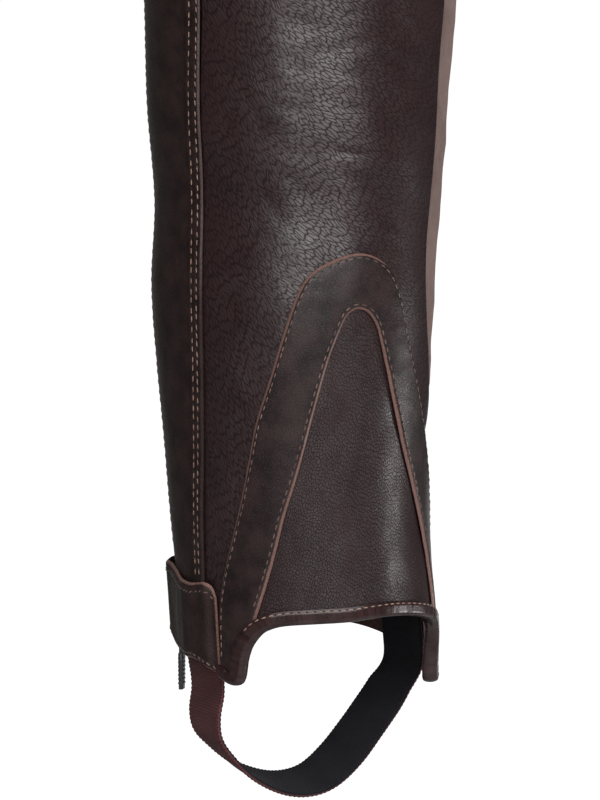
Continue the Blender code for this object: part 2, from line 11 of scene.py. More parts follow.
import bmesh
import bpy
from mathutils import Matrix, Vector, noise


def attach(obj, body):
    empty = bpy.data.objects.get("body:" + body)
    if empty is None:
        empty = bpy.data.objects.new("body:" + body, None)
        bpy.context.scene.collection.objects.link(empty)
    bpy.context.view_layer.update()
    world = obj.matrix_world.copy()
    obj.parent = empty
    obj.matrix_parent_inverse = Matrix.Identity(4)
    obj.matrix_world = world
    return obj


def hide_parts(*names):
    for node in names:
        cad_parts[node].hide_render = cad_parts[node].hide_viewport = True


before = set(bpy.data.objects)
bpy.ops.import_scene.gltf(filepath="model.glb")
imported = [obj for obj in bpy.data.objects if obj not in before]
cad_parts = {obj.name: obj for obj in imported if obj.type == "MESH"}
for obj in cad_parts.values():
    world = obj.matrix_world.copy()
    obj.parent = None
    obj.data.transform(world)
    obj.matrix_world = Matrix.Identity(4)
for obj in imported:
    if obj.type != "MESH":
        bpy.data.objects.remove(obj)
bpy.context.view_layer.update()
print("solids to dress:", len(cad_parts))

# %% [markdown]
# ## Where things are on a leg
# Flat patterns are easiest to think of on the leg itself. A place is an angle round the leg, a
# height, and a lift off the skin side of the leather. Angle 0 is the shin, plus is the inner side
# of this right leg. Heights are in millimetres from the level of the two side tabs.

# %% Sizes in millimetres
HOLD_HEIGHT = 240.0
TOP_HEIGHT, TOP_SLOPE = 414.0, 6.0
LEATHER, SEAM_GAP = 1.3, 0.3
SKIN_LIFT = 0.0
PANEL_LIFT = SKIN_LIFT + LEATHER + SEAM_GAP
COVER_LIFT = PANEL_LIFT + LEATHER + SEAM_GAP
OVER_COVER_LIFT = COVER_LIFT + LEATHER + SEAM_GAP
PATTERN_RADIUS = 47.0

# height, the middle of the leg in x and y, half its width, and its depth in front and behind
LEG = (
    (-15, 0.9, -6.0, 41.7, 45.0, 43.5),
    (0, 0.5, -6.0, 41.7, 44.8, 43.8),
    (18, -0.7, -6.0, 41.5, 44.6, 44.2),
    (39, -2.6, -6.0, 41.1, 44.2, 44.4),
    (60, -4.1, -5.8, 41.7, 44.6, 45.2),
    (81, -4.6, -5.4, 42.8, 45.8, 46.6),
    (109, -4.0, -4.6, 45.3, 48.4, 50.0),
    (137, -3.1, -3.6, 47.3, 50.4, 53.2),
    (165, -1.2, -2.6, 47.5, 50.4, 54.0),
    (200, -0.6, -1.4, 50.0, 52.4, 57.2),
    (235, 1.2, -0.2, 51.8, 54.0, 59.6),
    (290, 2.4, 0.6, 54.2, 56.2, 61.2),
    (350, 1.8, -0.6, 53.8, 55.6, 59.2),
    (420, 0.6, -3.0, 51.6, 53.8, 55.6),
)

# angle and height of a large fold, half its size both ways, and how far it rises
FOLDS = (
    (-36, 121, 20, 24, 0.9),
    (2, 182, 34, 26, 1.0),
    (18, 222, 30, 24, -0.9),
    (-30, 285, 34, 30, -1.0),
    (60, 318, 36, 30, 1.1),
    (58, -6, 11, 18, -2.9),
    (62, 96, 26, 24, 1.2),
    (62, 215, 28, 50, 0.9),
    (150, 100, 30, 24, -2.0),
    (188, 70, 26, 24, 1.6),
    (170, 150, 34, 26, 1.2),
    (205, 205, 30, 26, -1.4),
    (140, 262, 34, 28, -1.0),
)

# angle, and the height of the cut edge there
HEM = (
    (-150, 12.0),
    (-112, 11.8),
    (-99, 9.8),
    (-92, 8.9),
    (-84, 8.7),
    (-78, 6.9),
    (-72, 4.4),
    (-69.2, 2.8),
    (-65.6, 1.3),
    (-62, 0.8),
    (-57, 0.8),
    (60, -2.6),
    (66, -2.6),
    (72, -2.0),
    (78, -0.9),
    (84, 0.4),
    (90, 1.6),
    (98, 4.2),
    (109.5, 7.2),
    (119, 9.4),
    (130, 11.2),
    (146, 12.4),
    (184, 12.6),
    (205, 12.3),
    (240, 12.0),
)
print("rows that describe the leg:", len(LEG), "and its large folds:", len(FOLDS))

# %% [markdown]
# A short table is not yet a smooth leg. The reader below passes a soft curve through its rows, so
# a few measured rows are enough, and any height between them can be asked for.


# %% Read a table on a smooth curve
def reader(table):
    """Returns a function that reads a table, whose first column rises, on a smooth curve."""
    keys = [row[0] for row in table]
    last = len(keys) - 1
    steep = []
    for index in range(len(keys)):
        low, high = max(index - 1, 0), min(index + 1, last)
        span = keys[high] - keys[low]
        steep.append([(b - a) / span for a, b in zip(table[low][1:], table[high][1:])])

    def at(key):
        key = min(max(key, keys[0]), keys[-1])
        row = min(bisect.bisect_right(keys, key) - 1, last - 1)
        span = keys[row + 1] - keys[row]
        share = (key - keys[row]) / span
        values = []
        ends = zip(table[row][1:], table[row + 1][1:], steep[row], steep[row + 1])
        for start, end, leave, arrive in ends:
            leave, arrive = leave * span, arrive * span
            bend = 3 * (end - start) - 2 * leave - arrive
            settle = leave + arrive - 2 * (end - start)
            values.append(start + share * (leave + share * (bend + share * settle)))
        return values

    return at


def rows_of(table):
    """Returns a function that reads a table by row number, which may lie between two rows."""
    return reader([(index, *row) for index, row in enumerate(table)])


def smooth(share):
    share = min(max(share, 0.0), 1.0)
    return share * share * (3 - 2 * share)


leg_at, hem_at = reader(LEG), reader(HEM)
print("half the ankle's width at height 39:", leg_at(39)[2], "mm")


# %% From a place on the leg to a point in the scene
def metres(x, y, height):
    return Vector((x, y, height - HOLD_HEIGHT)) / 1000


def fold_rise(angle, height):
    total = 0.0
    for at_angle, at_height, half_angle, half_height, rise in FOLDS:
        aside = ((angle - at_angle + 180) % 360 - 180) / half_angle
        above = (height - at_height) / half_height
        total += rise * math.exp(-(aside**2) - above**2)
    return total


def leg_frame(angle, height):
    """The skin-side point at a place, and the level direction out of the leg."""
    centre_x, centre_y, half_width, front_depth, rear_depth = leg_at(height)
    turn = math.radians(angle)
    depth = front_depth if math.cos(turn) > 0 else rear_depth
    outward = Vector((math.sin(turn) / half_width, -math.cos(turn) / depth, 0)).normalized()
    point = Vector((centre_x + half_width * math.sin(turn), centre_y - depth * math.cos(turn), 0))
    return point + outward * fold_rise(angle, height), outward


def leg(angle, height, lift):
    point, outward = leg_frame(angle, height)
    point += outward * lift
    return metres(point.x, point.y, height)


def degrees_for(distance, height):
    return math.degrees(distance / leg_at(height)[2])


def top(angle):
    return TOP_HEIGHT + TOP_SLOPE * math.cos(math.radians(angle))


def hem(angle):
    return hem_at(angle)[0]


print("a point on the shin:", [round(value, 4) for value in leg(0, 200, PANEL_LIFT)])

# %% [markdown]
# ## Shader maths as Python
# Node trees are hard to read as code, unless an expression can build them. A Signal stands for one
# value on its way through a material. Adding or multiplying two of them adds the Math node.


# %% One class for values, one for materials
class Signal:
    """One value or colour on its way through a material's nodes."""

    def __init__(self, finish, socket):
        self.finish, self.socket = finish, socket

    def maths(self, operation, first, second):
        return self.finish.node("Math", {"operation": operation}, {0: first, 1: second})

    def __add__(self, other):
        return self.maths("ADD", self, other)

    def __sub__(self, other):
        return self.maths("SUBTRACT", self, other)

    def __rsub__(self, other):
        return self.maths("SUBTRACT", other, self)

    def __mul__(self, other):
        return self.maths("MULTIPLY", self, other)

    def __pow__(self, other):
        return self.maths("POWER", self, other)

    __radd__, __rmul__ = __add__, __mul__

    def capped(self, most=1.0):
        return self.maths("MINIMUM", self, most)

    def between(self, low, high):
        """0 below low, 1 above high, and a soft step between them."""
        settings = {"interpolation_type": "SMOOTHSTEP"}
        return self.finish.node("MapRange", settings, {0: self, 1: low, 2: high, 3: 0.0, 4: 1.0})


class Finish:
    """A material in the making."""

    def __init__(self, name, **constants):
        self.material = bpy.data.materials.new(name)
        self.material.use_nodes = True
        self.tree = self.material.node_tree
        self.shader = self.tree.nodes["Principled BSDF"]
        for socket, value in constants.items():
            self.shader.inputs[socket.replace("_", " ")].default_value = value

    def feed(self, socket, value):
        if isinstance(value, Signal):
            self.tree.links.new(value.socket, socket)
        elif isinstance(value, tuple) and len(value) == 3 and socket.type == "RGBA":
            socket.default_value = (*value, 1)
        else:
            socket.default_value = value

    def node(self, kind, settings=None, sockets=None, output=0):
        made = self.tree.nodes.new("ShaderNode" + kind)
        for key, value in (settings or {}).items():
            setattr(made, key, value)
        for key, value in (sockets or {}).items():
            self.feed(made.inputs[key], value)
        return Signal(self, made.outputs[output])

    def mix(self, share, first, second):
        return self.node("Mix", {"data_type": "RGBA"}, {0: share, 6: first, 7: second}, output=2)

    def flow(self, turn=0.0, stretch=(1.0, 1.0), warp=0.0, warp_scale=30.0):
        """The piece's own pattern coordinates, drawn out along a turned direction, with a sway."""
        place = self.node("UVMap", {"uv_map": "pattern"})
        if warp:
            sway = self.noise(place, warp_scale, 2, colour=True)
            sway = self.node("VectorMath", {"operation": "SUBTRACT"}, {0: sway, 1: (0.5, 0.5, 0.5)})
            sway = self.node("VectorMath", {"operation": "SCALE"}, {0: sway, "Scale": warp})
            place = self.node("VectorMath", {"operation": "ADD"}, {0: place, 1: sway})
        sockets = {"Vector": place, "Rotation": (0, 0, turn), "Scale": (*stretch, 1.0)}
        return self.node("Mapping", {"vector_type": "TEXTURE"}, sockets)

    def noise(self, place, scale, detail=3, colour=False, rough=0.5):
        sockets = {"Vector": place, "Scale": scale, "Detail": detail, "Roughness": rough}
        return self.node("TexNoise", {"noise_dimensions": "2D"}, sockets, output=1 if colour else 0)

    def cells(self, place, scale, feature="DISTANCE_TO_EDGE", loose=1.0):
        settings = {"voronoi_dimensions": "2D", "feature": feature}
        return self.node("TexVoronoi", settings, {"Vector": place, "Scale": scale, "Randomness": loose})

    def reading(self, name):
        """A number that the mesh itself carries, such as the distance to the cut edge."""
        return self.node("Attribute", {"attribute_name": name}, output=2)

    def done(self, colour, roughness, height=None, depth=0.0001):
        self.feed(self.shader.inputs["Base Color"], colour)
        self.feed(self.shader.inputs["Roughness"], roughness)
        if height is not None:
            bumped = self.node("Bump", None, {"Strength": 1.0, "Distance": depth, "Height": height})
            self.feed(self.shader.inputs["Normal"], bumped)
        self.material.diffuse_color = self.shader.inputs["Base Color"].default_value
        return self.material


print("a Math node for each operator, and one method for every other node")

# %% [markdown]
# ## Leather: grain side, cut edge and flesh side
# Pattern coordinates run in tenths of a metre along the leather, so a scale of 60 makes cells of
# 1.7 mm. Full-grain leather is small raised cells with dark valleys, drawn out where the hide was
# stretched. The cut edge was never dyed, so it is pinkish brown and fibrous. The mesh carries the
# distance to its cut edge as an attribute named rim, and one mask turns grain into raw edge.

# %% Colours, all linear
DARK_BROWN = (0.0088, 0.0036, 0.0041)
WORN_BROWN = (0.02, 0.0088, 0.0094)
RAW_EDGE = (0.19, 0.108, 0.09)
RAW_EDGE_DEEP = (0.085, 0.042, 0.036)
# FLESH and FLESH_DEEP are set darker than the flesh side's own brown: painted shade for the inside of
# the tube.
FLESH = (0.06, 0.032, 0.027)
SEAM_SHADOW = (0.0006, 0.0004, 0.0004)
FLESH_DEEP = (0.03, 0.015, 0.013)
GRAIN_DEPTH = 0.00015


# %% The raw edge, shared by all grain leathers
RAW = ((RAW_EDGE_DEEP, RAW_EDGE), 0.8)
LOW_STRIP_EDGE = (((0.009, 0.006, 0.006), (0.02, 0.014, 0.013)), 0.4)
HIGH_STRIP_EDGE = ((0.03, 0.02, 0.018), (0.062, 0.045, 0.042))


def with_raw_edge(finish, grain_colour, grain_rough, grain_height, edge_colours, reach):
    """Turns grain into an undyed, fibrous edge within a distance of the cut, in millimetres."""
    ragged = finish.noise(finish.flow(), 160, 3)
    distance = finish.reading("rim") + (ragged - 0.5) * 0.5
    edge = 1 - distance.between(reach - 0.25, reach + 0.2)
    fibre = finish.noise(finish.flow(), 420, 2)
    raw = finish.mix(fibre.between(0.3, 0.7), *edge_colours)
    colour = finish.mix(edge, grain_colour, raw)
    rough = grain_rough * (1 - edge) + edge * 0.88
    height = grain_height * (1 - edge) + fibre * edge * 0.6
    return colour, rough, height


def flesh_side(name):
    """The soft unfinished side, seen inside the tube, its colours darkened as painted shade."""
    finish = Finish(name, Specular_IOR_Level=0.2)
    nap = finish.noise(finish.flow(turn=0.5, stretch=(1.0, 2.0)), 260, 4)
    patch = finish.noise(finish.flow(), 9, 3)
    shade = (nap * 0.6 + patch * 0.5).between(0.35, 0.75)
    return finish.done(finish.mix(shade, FLESH_DEEP, FLESH), 0.92, nap, 0.00012)


flesh = flesh_side("flesh side")
print("made", flesh.name)


# %% Pebbled leather for the shin
def pebbled_leather(name, cell, rough, two_ways, leans, drawn, calm, shine):
    """Full-grain leather, its cells drawn out in two ways. Calm places have a flatter grain."""
    finish = Finish(name, Specular_IOR_Level=0.1, Coat_Roughness=0.34)
    scale = 100 / cell
    steep = finish.cells(finish.flow(leans[0], (drawn[0], 0.8), 0.02, 14), scale)
    level = finish.cells(finish.flow(leans[1], (drawn[1], 0.8), 0.02, 14), scale * 1.1)
    tiny = finish.cells(finish.flow(leans[1], (1.6, 1.0), 0.006, 40), scale * 2.1)
    over = finish.node("SeparateXYZ", None, {0: finish.flow(warp=0.24, warp_scale=7)})
    side = over.between(*two_ways)
    pebbles = (steep * (1 - side) + level * side) * 3.4
    fine = (tiny * 3.4).capped()
    uneven = finish.noise(finish.flow(leans[0], (1.6, 1.0)), 13, 4)
    strong = over.between(*calm[0]) * (1 - over.between(*calm[1])) * 0.65 + 0.35
    tops = pebbles.between(0.05, 0.85)
    polish = (tops * 0.8 + fine * 0.3) * (0.2 + uneven * 1.4)
    even = 1 - strong * 0.95
    polish = polish * (1 - even) + even * 0.4
    far = over.between(*shine[1])
    # Painted shade: a black line in the groove beside the covering strip, where the coat is also taken
    # away.
    beside = strip_shadow(finish)
    polish = polish * (1 - far * 0.6) * (1 - beside) * shine[0]
    finish.feed(finish.shader.inputs["Coat Weight"], polish)
    height = ((pebbles.capped() ** 0.6) * 0.8 + fine * 0.13) * (0.35 + uneven * 1.3) * strong
    # Darker in the valleys between pebbles and lighter on their tops: wear on the tops, painted shade in
    # the valleys, with broad mottling over both.
    worn = (tops * 0.5 + finish.noise(finish.flow(), 5, 3) * 0.8).between(0.35, 1.0)
    colour = finish.mix(beside, finish.mix(worn, DARK_BROWN, WORN_BROWN), SEAM_SHADOW)
    roughness = rough + (1 - tops) * 0.2 + (uneven - 0.5) * 0.1
    return finish.done(*with_raw_edge(finish, colour, roughness, height, *RAW), GRAIN_DEPTH)


def strip_shadow(finish):
    """The deep groove beside the covering strip, painted as a black line of shade."""
    place = finish.node("SeparateXYZ", None, {0: finish.flow()})
    height = finish.node("SeparateXYZ", None, {0: finish.flow()}, output=1)
    edge = finish.reading("rim") - height.between(1.1, 2.35) * 0.5
    return (1 - edge.between(3.9, 4.7)) * (1 - place.between(-0.55, -0.5))


lean_left, lean_middle = math.radians(-64), math.radians(-36)
shin_leather = pebbled_leather(
    "pebbled leather",
    1.35,
    0.32,
    (-0.4, -0.2),
    (lean_left, lean_middle),
    (3.0, 2.6),
    ((-0.58, -0.4), (-0.05, 0.25)),
    (1.0, (0.12, 0.34)),
)
ankle_leather = pebbled_leather(
    "fine pebbled leather",
    1.15,
    0.34,
    (-3.0, -2.0),
    (1.2, 1.2),
    (1.3, 1.3),
    ((-0.6, -0.45), (0.2, 0.4)),
    (0.85, (0.02, 0.34)),
)
print("made", shin_leather.name, "and", ankle_leather.name)


# %% Smooth leather for the band, strip, guard and rear panel
def smooth_leather(name, browns, rough, drawn, shine, edge, upper_edge=None):
    """Leather with a flat grain. Its edges are lighter above the ankle where upper_edge is given."""
    finish = Finish(name, Specular_IOR_Level=0.1, Coat_Roughness=0.32)
    grain = (finish.cells(finish.flow(0.3, drawn, 0.02), 105) * 3.4).capped()
    creased = finish.noise(finish.flow(turn=0.2, stretch=(0.6, 1.8), warp=0.06), 34, 3)
    mottled = finish.noise(finish.flow(), 11, 4)
    height = grain * 0.5 + creased * 0.8
    finish.feed(finish.shader.inputs["Coat Weight"], (grain * 0.6 + mottled * 0.8) * shine)
    colour = finish.mix((mottled * 0.8 + creased * 0.4).between(0.38, 0.82), *browns)
    roughness = rough + (mottled - 0.5) * 0.14 + (1 - grain) * 0.06
    colours, reach = edge
    if upper_edge:
        up = finish.node("SeparateXYZ", None, {0: finish.flow()}, output=1).between(1.2, 1.6)
        colours = [finish.mix(up, low, high) for low, high in zip(colours, upper_edge)]
    edged = with_raw_edge(finish, colour, roughness, height, colours, reach)
    return finish.done(*edged, GRAIN_DEPTH)


BAND_BROWNS = ((0.0075, 0.0037, 0.0039), (0.019, 0.009, 0.0092))
REAR_BROWNS = ((0.0125, 0.0067, 0.0066), (0.024, 0.0135, 0.0125))
STRIP_BROWNS = ((0.009, 0.0042, 0.004), (0.019, 0.01, 0.0095))
band_leather = smooth_leather("band leather", BAND_BROWNS, 0.4, (1.0, 1.0), 0.44, RAW)
rear_leather = smooth_leather("rear leather", REAR_BROWNS, 0.6, (1.0, 1.6), 0.1, RAW)
strip_edges = (LOW_STRIP_EDGE, HIGH_STRIP_EDGE)
strip_leather = smooth_leather("seam strip leather", STRIP_BROWNS, 0.5, (1.0, 2.4), 0.2, *strip_edges)
print("made", band_leather.name, rear_leather.name, strip_leather.name)


# %% Glossy leather for the folded edge binding
def glossy_leather(name):
    """Thin leather, glued round an edge and polished. It creases across where it bends."""
    finish = Finish(name, Specular_IOR_Level=0.18, Coat_Roughness=0.13)
    across = finish.noise(finish.flow(stretch=(1.0, 6.0)), 55, 3)
    grain = (finish.cells(finish.flow(warp=0.02), 190) * 4).capped()
    patchy = finish.noise(finish.flow(), 12, 3)
    shade = (across * 0.5 + patchy * 0.5).between(0.3, 0.7)
    colour = finish.mix(shade, (0.0115, 0.0044, 0.0045), (0.026, 0.0105, 0.0105))
    finish.feed(finish.shader.inputs["Coat Weight"], 0.15 + patchy.between(0.2, 0.8) * 0.3)
    return finish.done(colour, 0.22 + across * 0.12, across * 0.8 + grain * 0.15, 0.00009)


binding_leather = glossy_leather("glossy folded leather")
print("made", binding_leather.name)


# %% Suede for the inner calf
def napped_suede(name):
    """Split leather brushed to a nap. Strokes of a hand leave lighter and darker places."""
    finish = Finish(name, Specular_IOR_Level=0.15, Sheen_Weight=0.25, Sheen_Roughness=0.6)
    finish.shader.inputs["Sheen Tint"].default_value = (0.62, 0.45, 0.4, 1)
    nap = finish.noise(finish.flow(turn=0.15, stretch=(1.0, 1.8)), 330, 4, rough=0.62)
    stroked = finish.noise(finish.flow(turn=0.5, stretch=(1.0, 2.6), warp=0.2, warp_scale=8), 10, 4)
    shade = (nap * 0.45 + stroked * 0.75).between(0.35, 0.85)
    colour = finish.mix(shade, (0.058, 0.037, 0.033), (0.108, 0.075, 0.068))
    edge = 1 - finish.reading("rim").between(0.5, 0.95)
    colour = finish.mix(edge, colour, (0.13, 0.087, 0.074))
    return finish.done(colour, 0.95, nap + stroked * 0.4, 0.00014)


suede = napped_suede("napped suede")
print("made", suede.name)


# %% Elastic, brown outside and black inside
def ribbed_elastic(name, dark, light, wale, sheen):
    """Woven elastic. Fine ribs run along it, crossed by the weft."""
    finish = Finish(name, Specular_IOR_Level=0.08, Sheen_Weight=sheen, Sheen_Roughness=0.5)
    place = finish.flow()
    waves = []
    for direction, share, sway, detail in (("Y", 1.0, 0.6, 1.0), ("X", 0.8, 0.8, 2.0)):
        settings = {"wave_type": "BANDS", "bands_direction": direction, "wave_profile": "SIN"}
        sockets = {"Vector": place, "Scale": wale * share, "Distortion": sway, "Detail": detail}
        waves.append(finish.node("TexWave", settings, sockets, output=1))
    ribs, weft = waves
    fuzz = finish.noise(place, 500, 3)
    weave = ribs * 0.55 + weft * 0.3 + fuzz * 0.3
    faded = finish.noise(finish.flow(stretch=(1.0, 3.0)), 12, 3)
    colour = finish.mix((weave * 0.7 + faded * 0.4).between(0.25, 0.95), dark, light)
    return finish.done(colour, 0.9, weave, 0.00018)


STRAP_BROWNS = ((0.032, 0.0105, 0.011), (0.1, 0.037, 0.039))
STRAP_BLACKS = ((0.0042, 0.0040, 0.0050), (0.0135, 0.0130, 0.0165))
TAPE_BLACKS = ((0.004, 0.0036, 0.0038), (0.015, 0.013, 0.0135))
brown_elastic = ribbed_elastic("brown elastic", *STRAP_BROWNS, 40, 0.02)
black_elastic = ribbed_elastic("black elastic", *STRAP_BLACKS, 46, 0.02)
zip_cloth = ribbed_elastic("woven zip tape", *TAPE_BLACKS, 60, 0.1)
print("made", brown_elastic.name, black_elastic.name, zip_cloth.name)


# %% Thread and black metal
def twisted_thread(name, dark, light):
    finish = Finish(name, Specular_IOR_Level=0.3, Sheen_Weight=0.1)
    place = finish.node("TexCoord", output=3)
    lay = finish.node("TexNoise", None, {"Vector": place, "Scale": 1500.0, "Detail": 2.0})
    wear = finish.node("TexNoise", None, {"Vector": place, "Scale": 70.0, "Detail": 2.0})
    colour = finish.mix((lay * 0.5 + wear * 0.7).between(0.35, 0.8), dark, light)
    return finish.done(colour, 0.75, lay, 0.00008)


def black_metal(name):
    """Black lacquer on zinc, rubbed to a dull shine in patches."""
    finish = Finish(name, Metallic=0.0, Specular_IOR_Level=0.6)
    place = finish.node("TexCoord", output=3)
    rubbed = finish.node("TexNoise", None, {"Vector": place, "Scale": 420.0, "Detail": 5.0})
    colour = finish.mix(rubbed.between(0.5, 0.75), (0.006, 0.0055, 0.006), (0.028, 0.025, 0.024))
    finish.feed(finish.shader.inputs["Metallic"], rubbed.between(0.55, 0.72) * 0.8)
    return finish.done(colour, 0.26 + rubbed * 0.2, rubbed, 0.00003)


thread = twisted_thread("brown thread", (0.085, 0.045, 0.033), (0.24, 0.15, 0.115))
dark_thread = twisted_thread("dark thread", (0.04, 0.021, 0.018), (0.13, 0.08, 0.064))
# Near-black balls between stitches: painted shade in the needle holes.
needle_hole_shade = twisted_thread("needle hole shade", (0.0015, 0.001, 0.001), (0.003, 0.002, 0.002))
lacquer = black_metal("black lacquered metal")
print("made", thread.name, dark_thread.name, lacquer.name)

# %% [markdown]
# ## One builder for every piece of leather
# A piece starts as a flat grid from create_grid, which extrude_face_region gives a second side.
# Then every point is sent to its place on the leg. The four outermost rows lie close together and
# slope down to the flesh side, because a knife leaves a slanting edge, and that edge is what tells
# the eye that this is leather and not a painted tube.

# %% How the rows of a grid are spread
EDGE_STEPS = (0.0, 0.3, 0.62, 1.0)
EDGE_LEFT = 0.2


def spread(number, steps, length):
    """Share of the way across, with close steps at both cut edges. Length is in millimetres."""
    close = len(EDGE_STEPS)
    if number < close:
        return EDGE_STEPS[number] / length
    if number > steps - close:
        return 1 - EDGE_STEPS[steps - number] / length
    start = EDGE_STEPS[-1] / length
    return start + (1 - 2 * start) * (number - close + 1) / (steps - 2 * close + 2)


def run_length(path, samples=16):
    """Length in millimetres of a path of places on the leg."""
    points = [leg(*path(number / samples), PANEL_LIFT) for number in range(samples + 1)]
    return sum((b - a).length for a, b in zip(points, points[1:])) * 1000


print("edge rows at", EDGE_STEPS, "mm")


# %% Keep a finished form as an object
def keep(name, form, finishes, stands_for=(), body="chap"):
    """Turns a bmesh into a smooth-shaded object that rides on its body."""
    bmesh.ops.recalc_face_normals(form, faces=form.faces[:])
    if form.calc_volume(signed=True) < 0:
        bmesh.ops.reverse_faces(form, faces=form.faces[:])
    mesh = bpy.data.meshes.new(name)
    form.to_mesh(mesh)
    form.free()
    for finish in finishes:
        mesh.materials.append(finish)
    mesh.shade_smooth()
    mesh.set_sharp_from_angle(angle=math.radians(48))
    piece = bpy.data.objects.new(name, mesh)
    bpy.context.collection.objects.link(piece)
    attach(piece, body)
    if stands_for:
        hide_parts(*stands_for)
    triangles = sum(len(face.vertices) - 2 for face in mesh.polygons)
    print(f"{name}: {triangles} triangles")
    return piece


# %% The leather shell
def plain(angle, height):
    return 0.0


def on_panel(angle, height):
    return PANEL_LIFT


def on_cover(angle, height):
    return COVER_LIFT


def on_tape(angle, height):
    return TAPE_LIFT


def two_sided(form, columns, rows):
    """Fills a form with a flat grid that has a second side, and returns that side's points."""
    bmesh.ops.create_grid(form, x_segments=columns, y_segments=rows, size=0.5)
    grown = bmesh.ops.extrude_face_region(form, geom=form.faces[:])
    return {item for item in grown["geom"] if isinstance(item, bmesh.types.BMVert)}


def lay_pattern(form, pattern, flat, outside, inner_slot):
    """Gives each corner its place on the flat pattern, and each side its finish."""
    for face in form.faces:
        face.material_index = 0 if any(vert in outside for vert in face.verts) else inner_slot
        for loop in face.loops:
            loop[pattern].uv = flat[loop.vert]


def shell(name, outline, steps, lift_at, finishes, node, relief=plain, **cut):
    """A flat pattern bent round the leg. dyed(across, up) is how far dye covers the cut edge."""
    columns, rows = steps
    thickness, slope, dyed = cut.get("thickness", LEATHER), cut.get("slope", 1.0), cut.get("dyed", plain)
    widths = [run_length(lambda share: outline(share, row / rows)) for row in range(rows + 1)]
    tall = [run_length(lambda share: outline(column / columns, share)) for column in range(columns + 1)]
    form = bmesh.new()
    rim = form.verts.layers.float.new("rim")
    pattern = form.loops.layers.uv.new("pattern")
    grain_side = two_sided(form, columns, rows)
    flat = {}
    for vert in form.verts:
        column = round((vert.co.x + 0.5) * columns)
        row = round((vert.co.y + 0.5) * rows)
        across, up = spread(column, columns, widths[row]), spread(row, rows, tall[column])
        inside = min(min(across, 1 - across) * widths[row], min(up, 1 - up) * tall[column])
        angle, height = outline(across, up)
        lift = lift_at(angle, height) + relief(angle, height)
        if vert in grain_side:
            lift += thickness - (thickness - EDGE_LEFT) * max(1 - inside / slope, 0.0) ** 1.5
        vert[rim] = inside + dyed(across, up) if vert in grain_side else 9.0
        vert.co = leg(angle, height, lift)
        flat[vert] = (math.radians(angle) * PATTERN_RADIUS / 100, height / 100)
    lay_pattern(form, pattern, flat, grain_side, len(finishes) - 1)
    cuts[name] = (max(widths) / 1000, max(tall) / 1000, grain_area(form, grain_side))
    return keep(name, form, finishes, (node,))


def grain_area(form, grain_side):
    """Square metres of the side that shows."""
    shown = [face for face in form.faces if all(vert in grain_side for vert in face.verts)]
    return sum(face.calc_area() for face in shown)


cuts = {}
print("ready to cut leather")

# %% [markdown]
# ## The lines of the pattern
# Real patterns are drawn as seams. These tables hold the seams that the photograph shows: the V
# band with its two edges, the arch over the instep, the outer seam, the zip and the raw edge of
# the front panel over the suede. A panel is then filled in between four of them.

# %% Seams
# height, width
STRIP_WIDTHS = ((0, 5.2), (110, 5.4), (235, 6.4), (430, 6.4))
ZIP_GAP = 5.0
# height, angle
SIDE_SEAM = (
    (0, -81.5),
    (34, -80.4),
    (80, -74.0),
    (110, -71.4),
    (138, -70.5),
    (151, -71.3),
    (165, -71.8),
    (180, -71.3),
    (235, -70.7),
    (430, -70.6),
)
# height, angle
ZIP = ((0, -130.5), (60, -127.5), (140, -125.0), (430, -124.5))
# angle, height
INNER_CURVE = ((38.0, 75.8), (41.2, 78.4), (44.4, 81.4), (46.9, 85.0), (48.2, 89.6), (47.6, 95.6))
# height, angle
INNER_SEAM = (
    (90, 48.2),
    (101, 45.6),
    (111, 42.7),
    (121, 38.8),
    (134, 35.2),
    (146, 33.7),
    (166, 34.4),
    (190, 35.8),
    (236, 36.4),
    (330, 38.0),
    (430, 38.0),
)
# angle and height of the outer edge, then of the inner edge, and where the seam lies between them
V_BAND = (
    (-69.4, 2.7, -60.2, 1.0, 0.0),
    (-69.6, 8.0, -58.4, 8.4, 0.0),
    (-69.0, 18.0, -53.3, 15.6, 0.0),
    (-67.4, 28.5, -49.4, 23.0, 0.12),
    (-63.4, 39.5, -42.8, 36.0, 0.30),
    (-57.8, 51.2, -37.6, 47.5, 0.45),
    (-52.4, 64.0, -33.0, 59.0, 0.50),
    (-48.2, 77.0, -28.2, 70.0, 0.50),
    (-44.2, 91.0, -24.2, 81.0, 0.50),
    (-38.2, 106.0, -19.6, 96.5, 0.50),
    (-32.4, 122.5, -15.0, 112.0, 0.50),
    (-27.6, 135.2, -11.0, 121.8, 0.50),
    (-22.8, 142.4, -8.2, 127.4, 0.50),
    (-14.0, 147.2, -5.4, 129.7, 0.50),
    (-4.0, 149.4, -2.4, 130.1, 0.50),
    (5.0, 147.2, 1.4, 128.6, 0.50),
    (11.4, 142.2, 5.2, 124.2, 0.50),
    (16.6, 133.5, 8.0, 117.6, 0.50),
    (21.0, 122.8, 11.2, 109.5, 0.50),
    (27.6, 109.5, 16.2, 97.5, 0.50),
    (35.6, 95.4, 23.2, 83.4, 0.50),
    (44.6, 82.0, 31.4, 69.6, 0.50),
    (54.0, 69.0, 38.8, 57.4, 0.50),
    (63.5, 55.0, 45.4, 46.4, 0.45),
    (71.0, 41.0, 51.4, 35.4, 0.30),
    (76.4, 28.0, 54.6, 26.4, 0.12),
    (80.4, 16.0, 54.8, 17.0, 0.0),
    (82.6, 8.0, 58.9, 8.8, 0.0),
    (83.6, 0.8, 61.8, -2.3, 0.0),
)
ARCH_LEFT, APEX_LEFT, APEX_RIGHT, INNER_CORNER, ARCH_RIGHT = 2, 12, 16, 21, 26
ANKLE_RADIUS = 41.5
SEAM_SHARE = 0.05
